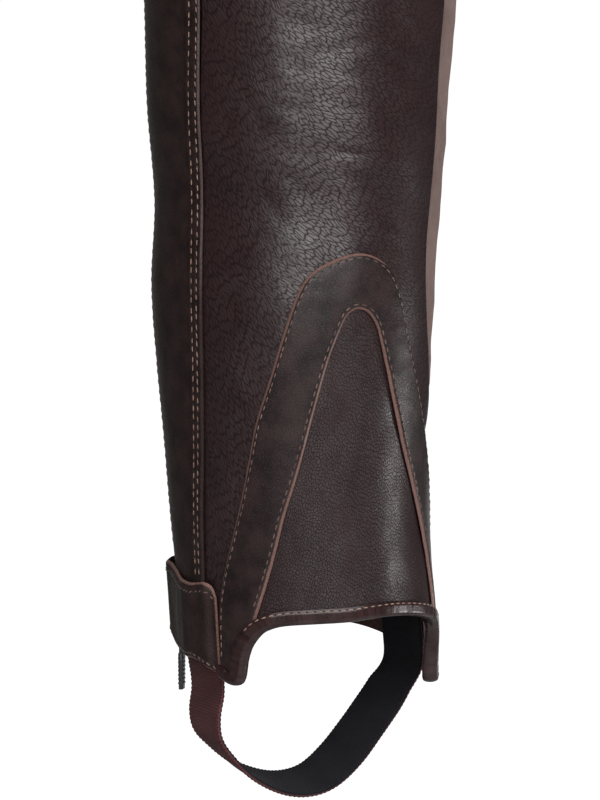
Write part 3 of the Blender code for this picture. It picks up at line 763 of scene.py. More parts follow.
# angle and height of the fold, and which way the leather lies from it, in degrees from upwards
ARCH = (
    (-69.0, 0.7, -2.0),
    (-65.6, -0.8, -3.0),
    (-62.0, -1.4, -19.0),
    (-58.8, -0.6, -41.0),
    (-56.9, 2.4, -70.0),
    (-55.4, 7.6, -72.0),
    (-52.8, 12.4, -60.0),
    (-48.2, 16.7, -45.0),
    (-44.0, 18.8, -24.0),
    (-37.0, 20.3, -9.0),
    (-23.0, 21.1, -4.0),
    (-8.0, 21.6, -4.0),
    (4.0, 22.4, -4.0),
    (14.0, 22.7, 1.0),
    (25.0, 22.2, 7.0),
    (36.0, 20.8, 14.0),
    (45.0, 18.6, 28.0),
    (52.0, 14.6, 51.0),
    (56.4, 8.4, 72.0),
    (57.8, 2.0, 79.0),
    (59.4, -3.2, 66.0),
    (61.4, -4.8, 48.0),
)
ARCH_CORNERS = (7, 17)
LOW_ROWS = (22, 33, 46, 61, 78, 91)
CALF_ROWS = (103, 112, 121, 130, 139, 149, 160, 172, 185, 198, 211, 224, 238)
HIGH_ROWS = (*CALF_ROWS, 253, 269, 286, 304, 323, 343, 365, 390)
side_seam_at, zip_at, inner_seam_at = reader(SIDE_SEAM), reader(ZIP), reader(INNER_SEAM)
strip_width_at = reader(STRIP_WIDTHS)
band_at, arch_at = rows_of(V_BAND), rows_of(ARCH)
print("the V band's apex is at height", V_BAND[14][1])


# %% Paths along the seams, and the patch between four of them
def base_seam(first, last, shift):
    path = []
    step = 1 if last >= first else -1
    for number in range(first, last + step, step):
        outer_angle, outer_height, inner_angle, inner_height, share = V_BAND[number]
        share = max(share + shift, 0.0)
        angle = inner_angle + (outer_angle - inner_angle) * share
        path.append((angle, inner_height + (outer_height - inner_height) * share))
    return path


def into_leather(row, inset):
    """The point at a distance inside the fold of the instep binding, at a row of its table."""
    angle, height, lean = arch_at(row)
    across, up = math.sin(math.radians(lean)), math.cos(math.radians(lean))
    return angle + across * inset / math.radians(ANKLE_RADIUS), height + up * inset


def level_path(start, end, steps, height_at):
    angles = [start + (end - start) * number / steps for number in range(steps + 1)]
    return [(angle, height_at(angle)) for angle in angles]


def upright(angle_at, heights):
    return [(angle_at(height), height) for height in heights]


def inner_seam(shift=0.0):
    path = upright(lambda height: inner_seam_at(height)[0] - shift, HIGH_ROWS)
    angle = inner_seam_at(TOP_HEIGHT)[0] - shift
    return path + [(angle, top(angle))]


def patch(left, right, bottom, upper):
    """A flat pattern filled in between four edges, each a smooth path through its places."""
    sides = [(rows_of(path), len(path) - 1) for path in (left, right, bottom, upper)]
    corners = [Vector(place) for place in (bottom[0], bottom[-1], upper[0], upper[-1])]

    def outline(across, up):
        near, far = [Vector(read(up * last)) for read, last in sides[:2]]
        low, high = [Vector(read(across * last)) for read, last in sides[2:]]
        twice = corners[0].lerp(corners[1], across).lerp(corners[2].lerp(corners[3], across), up)
        return tuple(low.lerp(high, up) + near.lerp(far, across) - twice)

    return outline


print("the inner seam has", len(inner_seam()), "places")

# %% [markdown]
# ## Creases that are shape, not shading
# The finest grain is bump, but creases that a hand would feel are moved points, so they also show
# at the outline. Each row of the table is one soft trough with a start and an end. Uneven noise,
# drawn out along the hide, adds the lesser ones.

# %% Creases of the front panel
# angle and height of the start, then of the end, half the width, and the depth
SHIN_CREASES = (
    (-40, 232, -8, 221, 1.9, 0.34),
    (-26, 218.6, -10, 219.2, 1.3, 0.30),
    (-16, 221.6, 2, 220.0, 1.4, 0.26),
    (-33, 212.4, -7, 210.2, 1.5, 0.32),
    (-24, 187, 3, 183, 1.6, 0.30),
    (-33, 171, -9, 165.6, 1.7, 0.28),
    (1, 219.5, 16, 213, 1.8, 0.26),
    (-12, 201, 12, 196, 1.6, 0.20),
    (-46, 176, -34, 160, 2.0, 0.24),
    (-50, 205, -40, 190, 1.9, 0.22),
    (-18, 160, 6, 157, 2.0, 0.22),
    (-34, 252, 10, 247, 2.0, 0.34),
    (-22, 268, 24, 262, 2.2, 0.32),
    (-44, 290, 2, 283, 2.4, 0.30),
    (-12, 306, 30, 300, 2.1, 0.28),
    (-40, 330, -4, 325, 2.3, 0.28),
    (-20, 352, 26, 346, 2.4, 0.26),
    (-46, 372, 8, 369, 2.2, 0.22),
)


def trough(crease, angle, height):
    """How deep a place lies in a crease: deepest along its middle, gone at both ends."""
    start_angle, start_height, end_angle, end_height, half_width, depth = crease
    per_degree = math.radians(PATTERN_RADIUS)
    run = Vector(((end_angle - start_angle) * per_degree, end_height - start_height))
    away = Vector(((angle - start_angle) * per_degree, height - start_height))
    share = away.dot(run) / run.length_squared
    if not -0.1 < share < 1.1:
        return 0.0
    side = (away - run * share).length / half_width
    if side > 3.5:
        return 0.0
    return depth * math.sin(math.pi * min(max(share, 0.0), 1.0)) ** 0.7 * math.exp(-side * side)


def drawn_noise(angle, height, along, across, lean, seed):
    """Soft noise with wave sizes in millimetres along and across its own lean."""
    u, v = math.radians(angle) * PATTERN_RADIUS, height
    turned = Vector((u * math.cos(lean) + v * math.sin(lean), v * math.cos(lean) - u * math.sin(lean)))
    return noise.noise(Vector((turned.x / along, turned.y / across, seed)))


def shin_relief(angle, height):
    sway = drawn_noise(angle, height, 16, 9, 0.0, 7.3) * 2.6
    rise = -sum(trough(crease, angle, height + sway) for crease in SHIN_CREASES)
    level = drawn_noise(angle, height, 13, 4.2, -0.22, 1.7) * 0.16
    level -= abs(drawn_noise(angle, height, 17, 5.0, -0.3, 4.1)) * 0.22
    steep = drawn_noise(angle, height, 3.4, 9.5, -0.42, 2.9) * 0.10
    over_shin = smooth((angle + 52) / 22) * (1 - smooth((angle - 14) / 16))
    wrinkled = smooth((height - 128) / 50)
    rise += (level * over_shin + steep * (1 - over_shin)) * (0.3 + 0.7 * wrinkled)
    return rise + drawn_noise(angle, height, 30, 24, 0.0, 9.9) * 0.12


print("creases on the shin:", len(SHIN_CREASES))

# %% [markdown]
# ## The wall of the tube
# Four panels make the wall. The leather ones butt together under the strip and the V band. The
# suede dips one layer, so that the front panel's raw edge laps over it.


# %% Front panel
def front_outline():
    hem_steps = 5
    heights = (hem(-80), *LOW_ROWS, *HIGH_ROWS, top(-70))
    side = upright(lambda height: side_seam_at(height)[0] + degrees_for(SEAM_GAP / 2, height), heights)
    bottom = level_path(side[0][0], V_BAND[0][2], hem_steps, hem)[:-1]
    bottom += base_seam(0, INNER_CORNER, SEAM_SHARE)
    inner = [bottom[-1], *INNER_CURVE[1:], *inner_seam()]
    upper = level_path(side[-1][0], inner[-1][0], hem_steps + INNER_CORNER, top)
    return patch(side, inner, bottom, upper)


shin_panel = shell(
    "shin_panel",
    front_outline(),
    (84, 330),
    on_panel,
    (shin_leather, flesh),
    "front_panel",
    shin_relief,
)


# %% Rear outer panel
def rear_outline():
    heights = (hem(-105), *LOW_ROWS, *HIGH_ROWS, top(-95))
    zip_side = upright(lambda height: zip_at(height)[0] + degrees_for(ZIP_GAP, height), heights)
    seam = upright(lambda height: side_seam_at(height)[0] - degrees_for(SEAM_GAP / 2, height), heights)
    bottom = level_path(zip_side[0][0], seam[0][0], 8, hem)
    upper = level_path(zip_side[-1][0], seam[-1][0], 8, top)
    zip_side[0], zip_side[-1] = bottom[0], upper[0]
    seam[0], seam[-1] = bottom[-1], upper[-1]
    return patch(zip_side, seam, bottom, upper)


def rear_relief(angle, height):
    wave = drawn_noise(angle, height, 26, 34, 0.0, 3.3) * 0.28
    return wave + drawn_noise(angle, height, 7, 10, 0.3, 5.2) * 0.06


outer_rear_panel = shell(
    "outer_rear_panel",
    rear_outline(),
    (34, 230),
    on_panel,
    (rear_leather, flesh),
    "rear_outer_panel",
    rear_relief,
)

# %% Suede inner calf panel
LAP_ANGLE = 9.5
SUEDE_SUNK_LIFT = -0.35
SUEDE_SUNK_ABOVE, SUEDE_FLUSH_BELOW = 73.0, 56.0
SUEDE_FLUSH_ANGLES = (62.0, 112.0)


def suede_lift(angle, height):
    low, high = SUEDE_FLUSH_ANGLES
    round_back = smooth((angle - low) / (high - low))
    at_ankle = smooth((SUEDE_SUNK_ABOVE - height) / (SUEDE_SUNK_ABOVE - SUEDE_FLUSH_BELOW))
    return SUEDE_SUNK_LIFT + (PANEL_LIFT - SUEDE_SUNK_LIFT) * max(round_back, at_ankle)


def suede_outline():
    front = base_seam(len(V_BAND) - 1, INNER_CORNER, SEAM_SHARE) + inner_seam(LAP_ANGLE)
    heights = (hem(230), *[height for _, height in front[1:-1]], top(230))
    back = upright(lambda height: 360 + zip_at(height)[0] - degrees_for(ZIP_GAP, height), heights)
    bottom = level_path(front[0][0], back[0][0], 28, hem)
    upper = level_path(front[-1][0], back[-1][0], 28, top)
    front[0] = bottom[0]
    back[0], back[-1] = bottom[-1], upper[-1]
    return patch(front, back, bottom, upper)


def suede_relief(angle, height):
    lapped = smooth((angle - 44) / 10)
    soft = drawn_noise(angle, height, 34, 22, 0.0, 6.1) * 0.5
    soft -= abs(drawn_noise(angle, height, 30, 13, -0.15, 8.4)) * 0.5
    return lapped * (soft + drawn_noise(angle, height, 9, 7, 0.2, 2.2) * 0.12)


calf_suede = shell(
    "calf_suede",
    suede_outline(),
    (96, 190),
    suede_lift,
    (suede, flesh),
    "inner_calf_panel",
    suede_relief,
)

# %% Ankle front
FOLD_ROOM = 1.7


def ankle_outline():
    columns = 4 * (APEX_RIGHT - APEX_LEFT)
    left = base_seam(ARCH_LEFT, APEX_LEFT, -SEAM_SHARE)
    right = base_seam(ARCH_RIGHT, APEX_RIGHT, -SEAM_SHARE)
    upper = base_seam(APEX_LEFT, APEX_RIGHT, -SEAM_SHARE)
    first, last = ARCH_CORNERS
    stops = [first + (last - first) * number / columns for number in range(columns + 1)]
    bottom = [into_leather(row, FOLD_ROOM) for row in stops]
    left[0], right[0] = bottom[0], bottom[-1]
    return patch(left, right, bottom, upper)


def ankle_relief(angle, height):
    puffed = smooth((height - 24) / 10) * (1 - smooth((height - 118) / 22))
    rise = drawn_noise(angle, height, 16, 11, 0.1, 5.5) * 0.22
    rise -= abs(drawn_noise(angle, height, 12, 20, 0.15, 3.7)) * 0.16
    return puffed * rise - 0.12


ankle_piece = shell(
    "ankle_piece",
    ankle_outline(),
    (76, 120),
    on_panel,
    (ankle_leather, flesh),
    "ankle_front",
    ankle_relief,
)

# %% [markdown]
# ## What lies on the wall
# The V band, the seam strip and the zip guard lie on the panels, one layer of leather higher. They
# come from the same leg, only with more lift, so they can't sink into what carries them.

# %% V-shaped band
BAND_ROWS = len(V_BAND) - 1


def band_outline(across, up):
    outer_angle, outer_height, inner_angle, inner_height, _ = band_at(across * BAND_ROWS)
    place = Vector((outer_angle, outer_height)).lerp(Vector((inner_angle, inner_height)), up)
    return tuple(place)


def band_relief(angle, height):
    dents = abs(drawn_noise(angle, height, 14, 7, 0.2, 1.2)) * 0.16
    return 0.1 - dents + drawn_noise(angle, height, 24, 20, 0.0, 6.6) * 0.1


def band_dye(across, up):
    """The outer edge was dyed over on the inner leg of the V, and worn thin on the other."""
    if up > 0.5:
        return 0.0
    return 2.0 * smooth((across - 0.54) / 0.04) - 0.15 * smooth((0.42 - across) / 0.06)


v_band = shell(
    "v_band",
    band_outline,
    (340, 26),
    on_cover,
    (band_leather, flesh),
    "ankle_v_band",
    band_relief,
    slope=1.25,
    dyed=band_dye,
)


# %% Strip over the outer seam
STRIP_THICK = 1.0
# height up the strip, half the distance between its two stitch rows, and their middle
STRIP_ROWS = ((0, 0.95, -0.3), (110, 1.0, -0.3), (165, 1.3, -0.2), (235, 1.6, 0.6), (430, 1.6, 0.6))
strip_rows_at = reader(STRIP_ROWS)


def strip_outline(across, up):
    low = hem(-80.4) + 0.4
    height = low + (top(-70) - low) * up
    aside = strip_width_at(height)[0] * (across - 0.5)
    return side_seam_at(height)[0] + degrees_for(aside, height), height


def strip_relief(angle, height):
    away = math.radians(angle - side_seam_at(height)[0]) * leg_at(height)[2]
    row, middle = strip_rows_at(height)
    sewn = math.exp(-(((abs(away - middle) - row) / 0.55) ** 2))
    return 0.12 - 0.26 * sewn + drawn_noise(angle, height, 5, 7, 0.0, 4.4) * 0.07


seam_strip = shell(
    "seam_strip",
    strip_outline,
    (22, 330),
    on_cover,
    (strip_leather, flesh),
    "side_seam_strip",
    strip_relief,
    thickness=STRIP_THICK,
    slope=0.6,
)

# %% Zip guard
# angle, height of the lower and of the upper edge, and the lift
GUARD = (
    (-69.9, 0.9, 29.0, COVER_LIFT),
    (-71.8, 2.3, 32.6, 3.35),
    (-74.3, 3.8, 34.2, OVER_COVER_LIFT + 0.05),
    (-78.0, 4.8, 34.0, OVER_COVER_LIFT),
    (-84.0, 6.4, 33.4, OVER_COVER_LIFT),
    (-92.0, 6.2, 33.8, 4.3),
    (-99.0, 6.4, 34.8, 3.5),
    (-106.0, 7.2, 36.4, 3.2),
    (-114.0, 8.6, 37.6, 3.7),
    (-122.0, 11.8, 38.2, 5.3),
    (-130.0, 12.5, 38.4, 5.5),
    (-138.0, 12.5, 38.4, 5.4),
    (-146.0, 12.8, 38.4, 3.8),
    (-151.5, 13.2, 38.0, COVER_LIFT),
    (-157.0, 13.6, 37.4, COVER_LIFT),
)
guard_at = rows_of(GUARD)
guard_lift_at = reader([(-angle, lift) for angle, _, _, lift in GUARD])


def guard_outline(across, up):
    angle, bottom, upper, _ = guard_at(across * (len(GUARD) - 1))
    return angle, bottom + (upper - bottom) * up


def guard_relief(angle, height):
    ridge = math.exp(-(((angle + 84) / 2.4) ** 2)) * 0.35
    dip = math.exp(-(((angle + 79.5) / 2.0) ** 2)) * 0.2
    return ridge - dip + drawn_noise(angle, height, 5, 13, 0.1, 3.9) * 0.14


zip_guard_flap = shell(
    "zip_guard_flap",
    guard_outline,
    (72, 36),
    lambda angle, height: guard_lift_at(-angle)[0],
    (rear_leather, flesh),
    "zip_guard",
    guard_relief,
    slope=1.25,
)

# %% [markdown]
# ## The folded binding of the instep
# A strip of thin leather is folded over the cut edge, like a bias binding. Its section is a narrow
# U, which is carried along the arch from one tab to the other.

# %% Instep binding
BINDING, BINDING_REACH, BINDING_GAP, FLAT_SHARE = 1.0, 5.4, 0.2, 0.25
TAB_LAYERS = (8.0, 9.6, 13.4, 15.0)
ARCH_ROWS = len(ARCH) - 1
fold_run = [(0.0,)]
for start, end in zip(ARCH, ARCH[1:]):
    stride = math.hypot(math.radians(end[0] - start[0]) * ANKLE_RADIUS, end[1] - start[1])
    fold_run.append((fold_run[-1][0] + stride,))
fold_run_at = rows_of(fold_run)


def binding_place(across, up, through):
    row = across * ARCH_ROWS
    outer_full, outer_end, inner_end, inner_full = TAB_LAYERS
    outer_tab = smooth((outer_end - row) / (outer_end - outer_full))
    at_tab = max(outer_tab, smooth((row - inner_end) / (inner_full - inner_end)))
    over, under = COVER_LIFT + (OVER_COVER_LIFT - COVER_LIFT) * at_tab, PANEL_LIFT - SEAM_GAP
    middle, half = (over + under) / 2, (over - under) / 2
    turn = min(max((up - FLAT_SHARE) / (1 - 2 * FLAT_SHARE), 0.0), 1.0)
    along_flat = min(min(up, 1 - up) / FLAT_SHARE, 1.0)
    room = FOLD_ROOM - BINDING_GAP
    reach = room + (BINDING_REACH - FOLD_ROOM) * (1 - along_flat)
    inset = reach - (room - BINDING * (1 - through)) * math.sin(math.pi * turn)
    lift = middle + (half + BINDING * through) * math.cos(math.pi * turn)
    thin = 0.55 * (1 - smooth(along_flat * 3.5)) * through * math.copysign(1, 0.5 - up)
    return (*into_leather(row, inset), lift - thin, row)


def make_binding(columns, rows):
    form = bmesh.new()
    pattern = form.loops.layers.uv.new("pattern")
    outside = two_sided(form, columns, rows)
    flat = {}
    for vert in form.verts:
        across, up = vert.co.x + 0.5, vert.co.y + 0.5
        angle, height, lift, row = binding_place(across, up, float(vert in outside))
        along = fold_run_at(row)[0]
        pucker = 0.09 * noise.noise(Vector((along * 0.55, up * 2.2, 4.0)))
        pucker += 0.07 * noise.noise(Vector((along * 1.4, up, 8.0)))
        if vert in outside:
            lift += pucker * math.copysign(1, 0.5 - up)
        vert.co = leg(angle, height, lift)
        flat[vert] = (along / 100, up * 0.11)
    lay_pattern(form, pattern, flat, outside, 0)
    return keep("instep_fold", form, (binding_leather,), ("instep_binding",))


instep_fold = make_binding(240, 34)

# %% [markdown]
# ## The stirrup strap
# Elastic keeps its width and only bends, so the strap is a frame carried along a row of places:
# a middle, a direction across and a direction out. Its rounded selvedges are beaded, as the
# weft loops round the last rubber thread.

# %% Stirrup strap
ELASTIC, ELASTIC_WIDTH = 1.6, 25.0
ELASTIC_SEWN_ANGLES = (-90.0, 95.0)
STRAP_ON_WALL, STRAP_FREE = 5.0, -9.0
SELVEDGE, BEAD_PITCH = 1.7, 1.6
# x, y and height of the elastic's middle, then how far its front edge leans and drops
STRAP = (
    (-38.0, -5.5, 24.0, 0.0, 0.0),
    (-38.0, -5.5, 12.0, 0.0, 0.0),
    (-38.0, -5.5, 3.0, 0.0, 0.0),
    (-38.9, -5.5, -6.0, 0.0, 0.2),
    (-40.1, -5.5, -14.0, 0.3, 0.8),
    (-39.0, -5.5, -21.0, 1.0, 1.5),
    (-34.4, -5.5, -27.0, 1.7, 2.3),
    (-25.6, -5.5, -34.8, 2.0, 3.5),
    (-14.0, -5.3, -39.9, 1.5, 4.9),
    (-4.0, -4.9, -41.2, -0.4, 5.3),
    (5.4, -4.5, -38.8, -2.0, 5.0),
    (14.8, -3.8, -31.8, -3.1, 4.3),
    (23.6, -3.1, -22.4, -3.5, 3.5),
    (31.6, -2.5, -12.8, -3.7, 2.6),
    (37.4, -2.1, -4.0, -3.0, 1.2),
    (39.8, -2.0, 4.0, -2.0, 0.2),
    (40.2, -2.0, 13.0, -1.6, 0.0),
    (40.0, -2.0, 24.0, -1.6, 0.0),
)
strap_at = rows_of(STRAP)


def strap_place(across, up, lift):
    """A point on the elastic: along it, over its width, and out from its middle in millimetres."""
    row = across * (len(STRAP) - 1)
    x, y, height, lean, drop = strap_at(row)
    forward = Vector((-lean, -math.sqrt(ELASTIC_WIDTH**2 - lean**2 - drop**2), -drop)).normalized()
    ahead, behind = strap_at(row + 0.1), strap_at(row - 0.1)
    run = Vector([a - b for a, b in zip(ahead[:3], behind[:3])])
    outward = run.cross(forward).normalized()
    side = 2 * up - 1
    free = Vector((x, y, height)) + forward * side * ELASTIC_WIDTH / 2 + outward * lift
    outer_side = across < 0.5
    half_turn = degrees_for(ELASTIC_WIDTH / 2, 0)
    angle = ELASTIC_SEWN_ANGLES[0 if outer_side else 1] + side * half_turn * (1 if outer_side else -1)
    sewn = leg(angle, height, PANEL_LIFT - SEAM_GAP - ELASTIC / 2 + lift)
    return metres(*free).lerp(sewn, smooth((height - STRAP_FREE) / (STRAP_ON_WALL - STRAP_FREE)))


def make_strap(columns, rows):
    lengths = [0.0]
    for column in range(columns):
        step = strap_place((column + 1) / columns, 0.5, 0) - strap_place(column / columns, 0.5, 0)
        lengths.append(lengths[-1] + step.length * 1000)
    form = bmesh.new()
    pattern = form.loops.layers.uv.new("pattern")
    outside = two_sided(form, columns, rows)
    flat = {}
    for vert in form.verts:
        column, up = round((vert.co.x + 0.5) * columns), vert.co.y + 0.5
        from_edge = min(up, 1 - up) * ELASTIC_WIDTH
        bead = max(1 - ((from_edge - SELVEDGE / 2) / (SELVEDGE / 2)) ** 2, 0.0)
        beading = 0.5 + 0.5 * math.sin(2 * math.pi * lengths[column] / BEAD_PITCH)
        half = ELASTIC / 2 * min(0.35 + from_edge * 1.6, 1.0) - 0.12 + bead * (0.05 + 0.22 * beading)
        sway = noise.noise(Vector((lengths[column] / 14, up * 2.5, 3.0))) * 0.25
        vert.co = strap_place(column / columns, up, (half if vert in outside else -half) + sway)
        flat[vert] = (lengths[column] / 100, up * ELASTIC_WIDTH / 100)
    lay_pattern(form, pattern, flat, outside, 1)
    print("the elastic is", round(lengths[-1]), "mm long")
    return keep("elastic_strap", form, (brown_elastic, black_elastic), ("stirrup_strap",))


elastic_strap = make_strap(560, 32)

# %% [markdown]
# ## Sewing
# A stitch is one short bulging length of thread that dives into the leather at both ends. One
# small ball of 24 faces is stretched along the seam for each stitch, and a flat near-black one is
# painted shade in the needle's hole between two. Chap seams are sewn at about three stitches a
# centimetre.


# %% Stitches along a path of places
ROW_STEPS, NEARBY = 400, 0.003


def ball(form, middle, half_axes, slot):
    """A ball of 24 faces, stretched along three directions given in millimetres."""
    axes = Matrix([axis / 1000 for axis in half_axes]).transposed().to_4x4()
    stand = Matrix.Translation(middle) @ axes
    made = bmesh.ops.create_uvsphere(form, u_segments=6, v_segments=4, radius=1, matrix=stand)["verts"]
    for face in {face for vert in made for face in vert.link_faces}:
        face.material_index = slot


def stitch_row(name, path, pitch, finish, lean=0.0, thick=0.26, cover=0.64, holes=True):
    """Sews along path(share), which gives an angle, a height and the lift of the leather's top."""
    steps = ROW_STEPS
    places = [leg(*path(step / steps)) for step in range(steps + 1)]
    lengths = [0.0]
    for start, end in zip(places, places[1:]):
        lengths.append(lengths[-1] + (end - start).length * 1000)
    count = max(round(lengths[-1] / pitch), 1)
    form = bmesh.new()
    for number in range(count):
        want = (number + 0.5) * lengths[-1] / count
        share = bisect.bisect_left(lengths, want) / steps
        angle, height, lift = path(share)
        middle = leg(angle, height, lift + thick * 0.15)
        ahead, behind = leg(*path(min(share + NEARBY, 1))), leg(*path(max(share - NEARBY, 0)))
        along = (ahead - behind).normalized()
        outward = leg_frame(angle, height)[1]
        side = outward.cross(along).normalized()
        tilt = lean + 0.09 * noise.noise(Vector((number * 1.7, len(name), 0.5)))
        turned = along * math.cos(tilt) + side * math.sin(tilt)
        along, side = turned, side * math.cos(tilt) - along * math.sin(tilt)
        half = pitch * cover / 2 * (1 + 0.08 * noise.noise(Vector((number * 2.3, 1.0, len(name)))))
        ball(form, middle, (side * thick, outward * thick * 0.9, along * half), 0)
        # A flat near-black ball after each stitch: painted shade in the needle hole.
        if holes:
            hole = middle + along * pitch * 0.5 / 1000 - outward * thick * 0.2 / 1000
            ball(form, hole, (side * thick * 1.35, outward * thick * 0.6, along * thick * 1.8), 1)
    print(name, "has", count, "stitches")
    return keep(name, form, (finish, needle_hole_shade))


def between(start, end, share):
    return start + (end - start) * share


print("ready to sew")


# %% Rows on the seam strip
STRIP_THREAD_LIFT = COVER_LIFT + STRIP_THICK - 0.1
SEWN_ABOVE_GUARD, SEWN_BELOW_TOP = 35.5, 3


def strip_row(side):
    def path(share):
        height = between(SEWN_ABOVE_GUARD, top(-70) - SEWN_BELOW_TOP, share)
        row, middle = strip_rows_at(height)
        angle = side_seam_at(height)[0] + degrees_for(middle + side * row, height)
        return angle, height, STRIP_THREAD_LIFT

    return path


strip_rows = [
    stitch_row("strip_stitches_rear", strip_row(-1), 3.4, thread),
    stitch_row("strip_stitches_front", strip_row(1), 3.2, thread, lean=0.12),
]


# %% Rows on the V band
def band_row(inset, outer_edge, first, last):
    """A row at a distance from one edge of the band."""

    def path(share):
        across = between(first, last, share) / BAND_ROWS
        width = run_length(lambda up: band_outline(across, up), 2)
        angle, height = band_outline(across, inset / width if outer_edge else 1 - inset / width)
        return angle, height, COVER_LIFT + LEATHER + band_relief(angle, height)

    return path


band_rows = [
    stitch_row("band_stitches_outer", band_row(1.6, True, 0.9, BAND_ROWS - 0.25), 3.2, dark_thread),
    stitch_row("band_stitches_inner", band_row(1.75, False, 3.2, BAND_ROWS - 3.4), 3.2, dark_thread),
]


# %% Row on the binding
FIRST_SEWN_ROW, LAST_SEWN_ROW = 6.6, ARCH_ROWS - 4.4
SEWN_SHARE = 0.045


def binding_row(share):
    row = between(FIRST_SEWN_ROW, LAST_SEWN_ROW, share)
    angle, height, lift, _ = binding_place(row / ARCH_ROWS, SEWN_SHARE, 1.0)
    return angle, height, lift


binding_stitches = stitch_row("binding_stitches", binding_row, 2.8, thread, thick=0.27)


# %% Rows on the guard
def guard_row(up_at):
    def path(share):
        angle, bottom, upper, _ = guard_at(between(0.5, len(GUARD) - 1.6, share))
        height = up_at(bottom, upper)
        return angle, height, guard_lift_at(-angle)[0] + LEATHER + guard_relief(angle, height)

    return path


guard_top, guard_bottom = guard_row(lambda low, high: high - 3.2), guard_row(lambda low, high: low + 1.9)
guard_rows = [
    stitch_row("guard_stitches_top", guard_top, 2.7, dark_thread, lean=0.35),
    stitch_row("guard_stitches_bottom", guard_bottom, 2.7, dark_thread, lean=-0.3),
]


# %% Rows beside the zip, round the top and along the rear hem
ZIP_ROW_FOOT, ZIP_ROW_SHORT, ZIP_ROW_REACH = 44, 5, 7.6
TOP_ROW_DROP, HEM_ROW_RISE, HEM_ROW_ANGLES = 4.5, 3.2, (92, 222)


def zip_row(side, lift):
    def path(share):
        height = between(ZIP_ROW_FOOT, top(-125) - ZIP_ROW_SHORT, share)
        angle = zip_at(height)[0] + side * degrees_for(ZIP_ROW_REACH, height)
        bumps = rear_relief(angle, height) if side > 0 else suede_relief(angle + 360, height)
        return angle, height, lift + bumps

    return path


def top_row(start, end, lift_at, relief):
    def path(share):
        angle = between(start, end, share)
        height = top(angle) - TOP_ROW_DROP
        return angle, height, lift_at(angle, height) + LEATHER + relief(angle, height)

    return path


def hem_row(share):
    angle = between(*HEM_ROW_ANGLES, share)
    height = hem(angle) + HEM_ROW_RISE
    return angle, height, suede_lift(angle, height) + LEATHER + suede_relief(angle, height)


EDGE_PITCH = 3.3
edge_paths = {
    "zip_stitches_rear": zip_row(-1, PANEL_LIFT + LEATHER),
    "top_stitches_shin": top_row(-66, 36, on_panel, shin_relief),
    "top_stitches_outer": top_row(-117, -74, on_panel, rear_relief),
    "top_stitches_calf": top_row(42, 228, suede_lift, suede_relief),
    "hem_stitches": hem_row,
}
sunk_row = zip_row(1, PANEL_LIFT + LEATHER - 0.08)
edge_rows = [stitch_row("zip_stitches_front", sunk_row, EDGE_PITCH, thread, holes=False)]
edge_rows += [stitch_row(name, path, EDGE_PITCH, thread) for name, path in edge_paths.items()]
sewn_rows = [*strip_rows, *band_rows, binding_stitches, *guard_rows, *edge_rows]
print("rows of stitches:", len(sewn_rows))

# %% [markdown]
# ## The zip
# Two woven tapes lie under the leather, and moulded teeth lock between them. The slider rests at
# the bottom, where the guard covers it. Its pull hangs out below and turns on the slider's bridge,
# so it rides on its own body.

# %% Tapes
TAPE, TAPE_WIDTH, CHAIN_WIDTH = 1.0, 9.8, 5.6
TAPE_LIFT = PANEL_LIFT - SEAM_GAP - TAPE
TAPE_FOOT, TAPE_SHORT, CHAIN_SHORT = 12.6, 3.0, 8.0
PIVOT_HEIGHT, PIVOT_LIFT = 15.5, 3.4
SLIDER_FLOOR, SLIDER_HEAD = -2.9, 6.5


def tape_outline(side):
    low, high = TAPE_FOOT, top(-125) - TAPE_SHORT
    near = CHAIN_WIDTH / 2 + SEAM_GAP - 0.2

    def outline(across, up):
        height = between(low, high, up)
        reach = between(near, near + TAPE_WIDTH, across)
        return zip_at(height)[0] + side * degrees_for(reach, height), height

    return outline


def make_tape(name, side, node):
    faces = (zip_cloth, zip_cloth)
    return shell(name, tape_outline(side), (10, 120), on_tape, faces, node, thickness=TAPE, slope=0.3)


tapes = [make_tape("front_tape", 1, "zip_tape_front"), make_tape("rear_tape", -1, "zip_tape_rear")]

# %% Teeth
TOOTH_PITCH, TOOTH_OFFSET = 2.6, 0.75
TOOTH_SIZE = (3.9 / 1000, 2.2 / 1000, 1.15 / 1000)
TOOTH_BEVEL = 0.00028


def round_edges(form, offset, segments):
    settings = {"offset": offset, "segments": segments, "affect": "EDGES", "profile": 0.5}
    bmesh.ops.bevel(form, geom=form.edges[:], material=-1, **settings)


def make_teeth():
    """Teeth from the two sides take turns, each a small block with bevelled edges."""
    form = bmesh.new()
    low, high = PIVOT_HEIGHT + SLIDER_HEAD + 0.9, top(-125) - CHAIN_SHORT - 0.8
    count = int((high - low) / (TOOTH_PITCH / 2))
    for number in range(count):
        height = low + number * TOOTH_PITCH / 2
        side = 1 if number % 2 else -1
        angle = zip_at(height)[0] + side * degrees_for(TOOTH_OFFSET, height)
        middle = leg(angle, height, TAPE_LIFT + TAPE / 2)
        outward = leg_frame(angle, height)[1]
        level = outward.cross(Vector((0, 0, 1)))
        wide, deep, tall = TOOTH_SIZE
        axes = Matrix((level * wide, outward * deep, Vector((0, 0, tall)))).transposed().to_4x4()
        bmesh.ops.create_cube(form, size=1.0, matrix=Matrix.Translation(middle) @ axes)
    round_edges(form, TOOTH_BEVEL, 1)
    return keep("zip_teeth", form, (lacquer,), ("zip_chain",))


zip_teeth = make_teeth()


# %% Slider and pull
def zip_matrix():
    """Stands at the pull's hinge: X runs rearward along the leather, Y out of the leg and Z up."""
    point, outward = leg_frame(zip_at(PIVOT_HEIGHT)[0], PIVOT_HEIGHT)
    point += outward * PIVOT_LIFT
    sideways = outward.cross(Vector((0, 0, 1)))
    axes = Matrix((sideways, outward, Vector((0, 0, 1)))).transposed().to_4x4()
    return Matrix.Translation(metres(point.x, point.y, PIVOT_HEIGHT)) @ axes


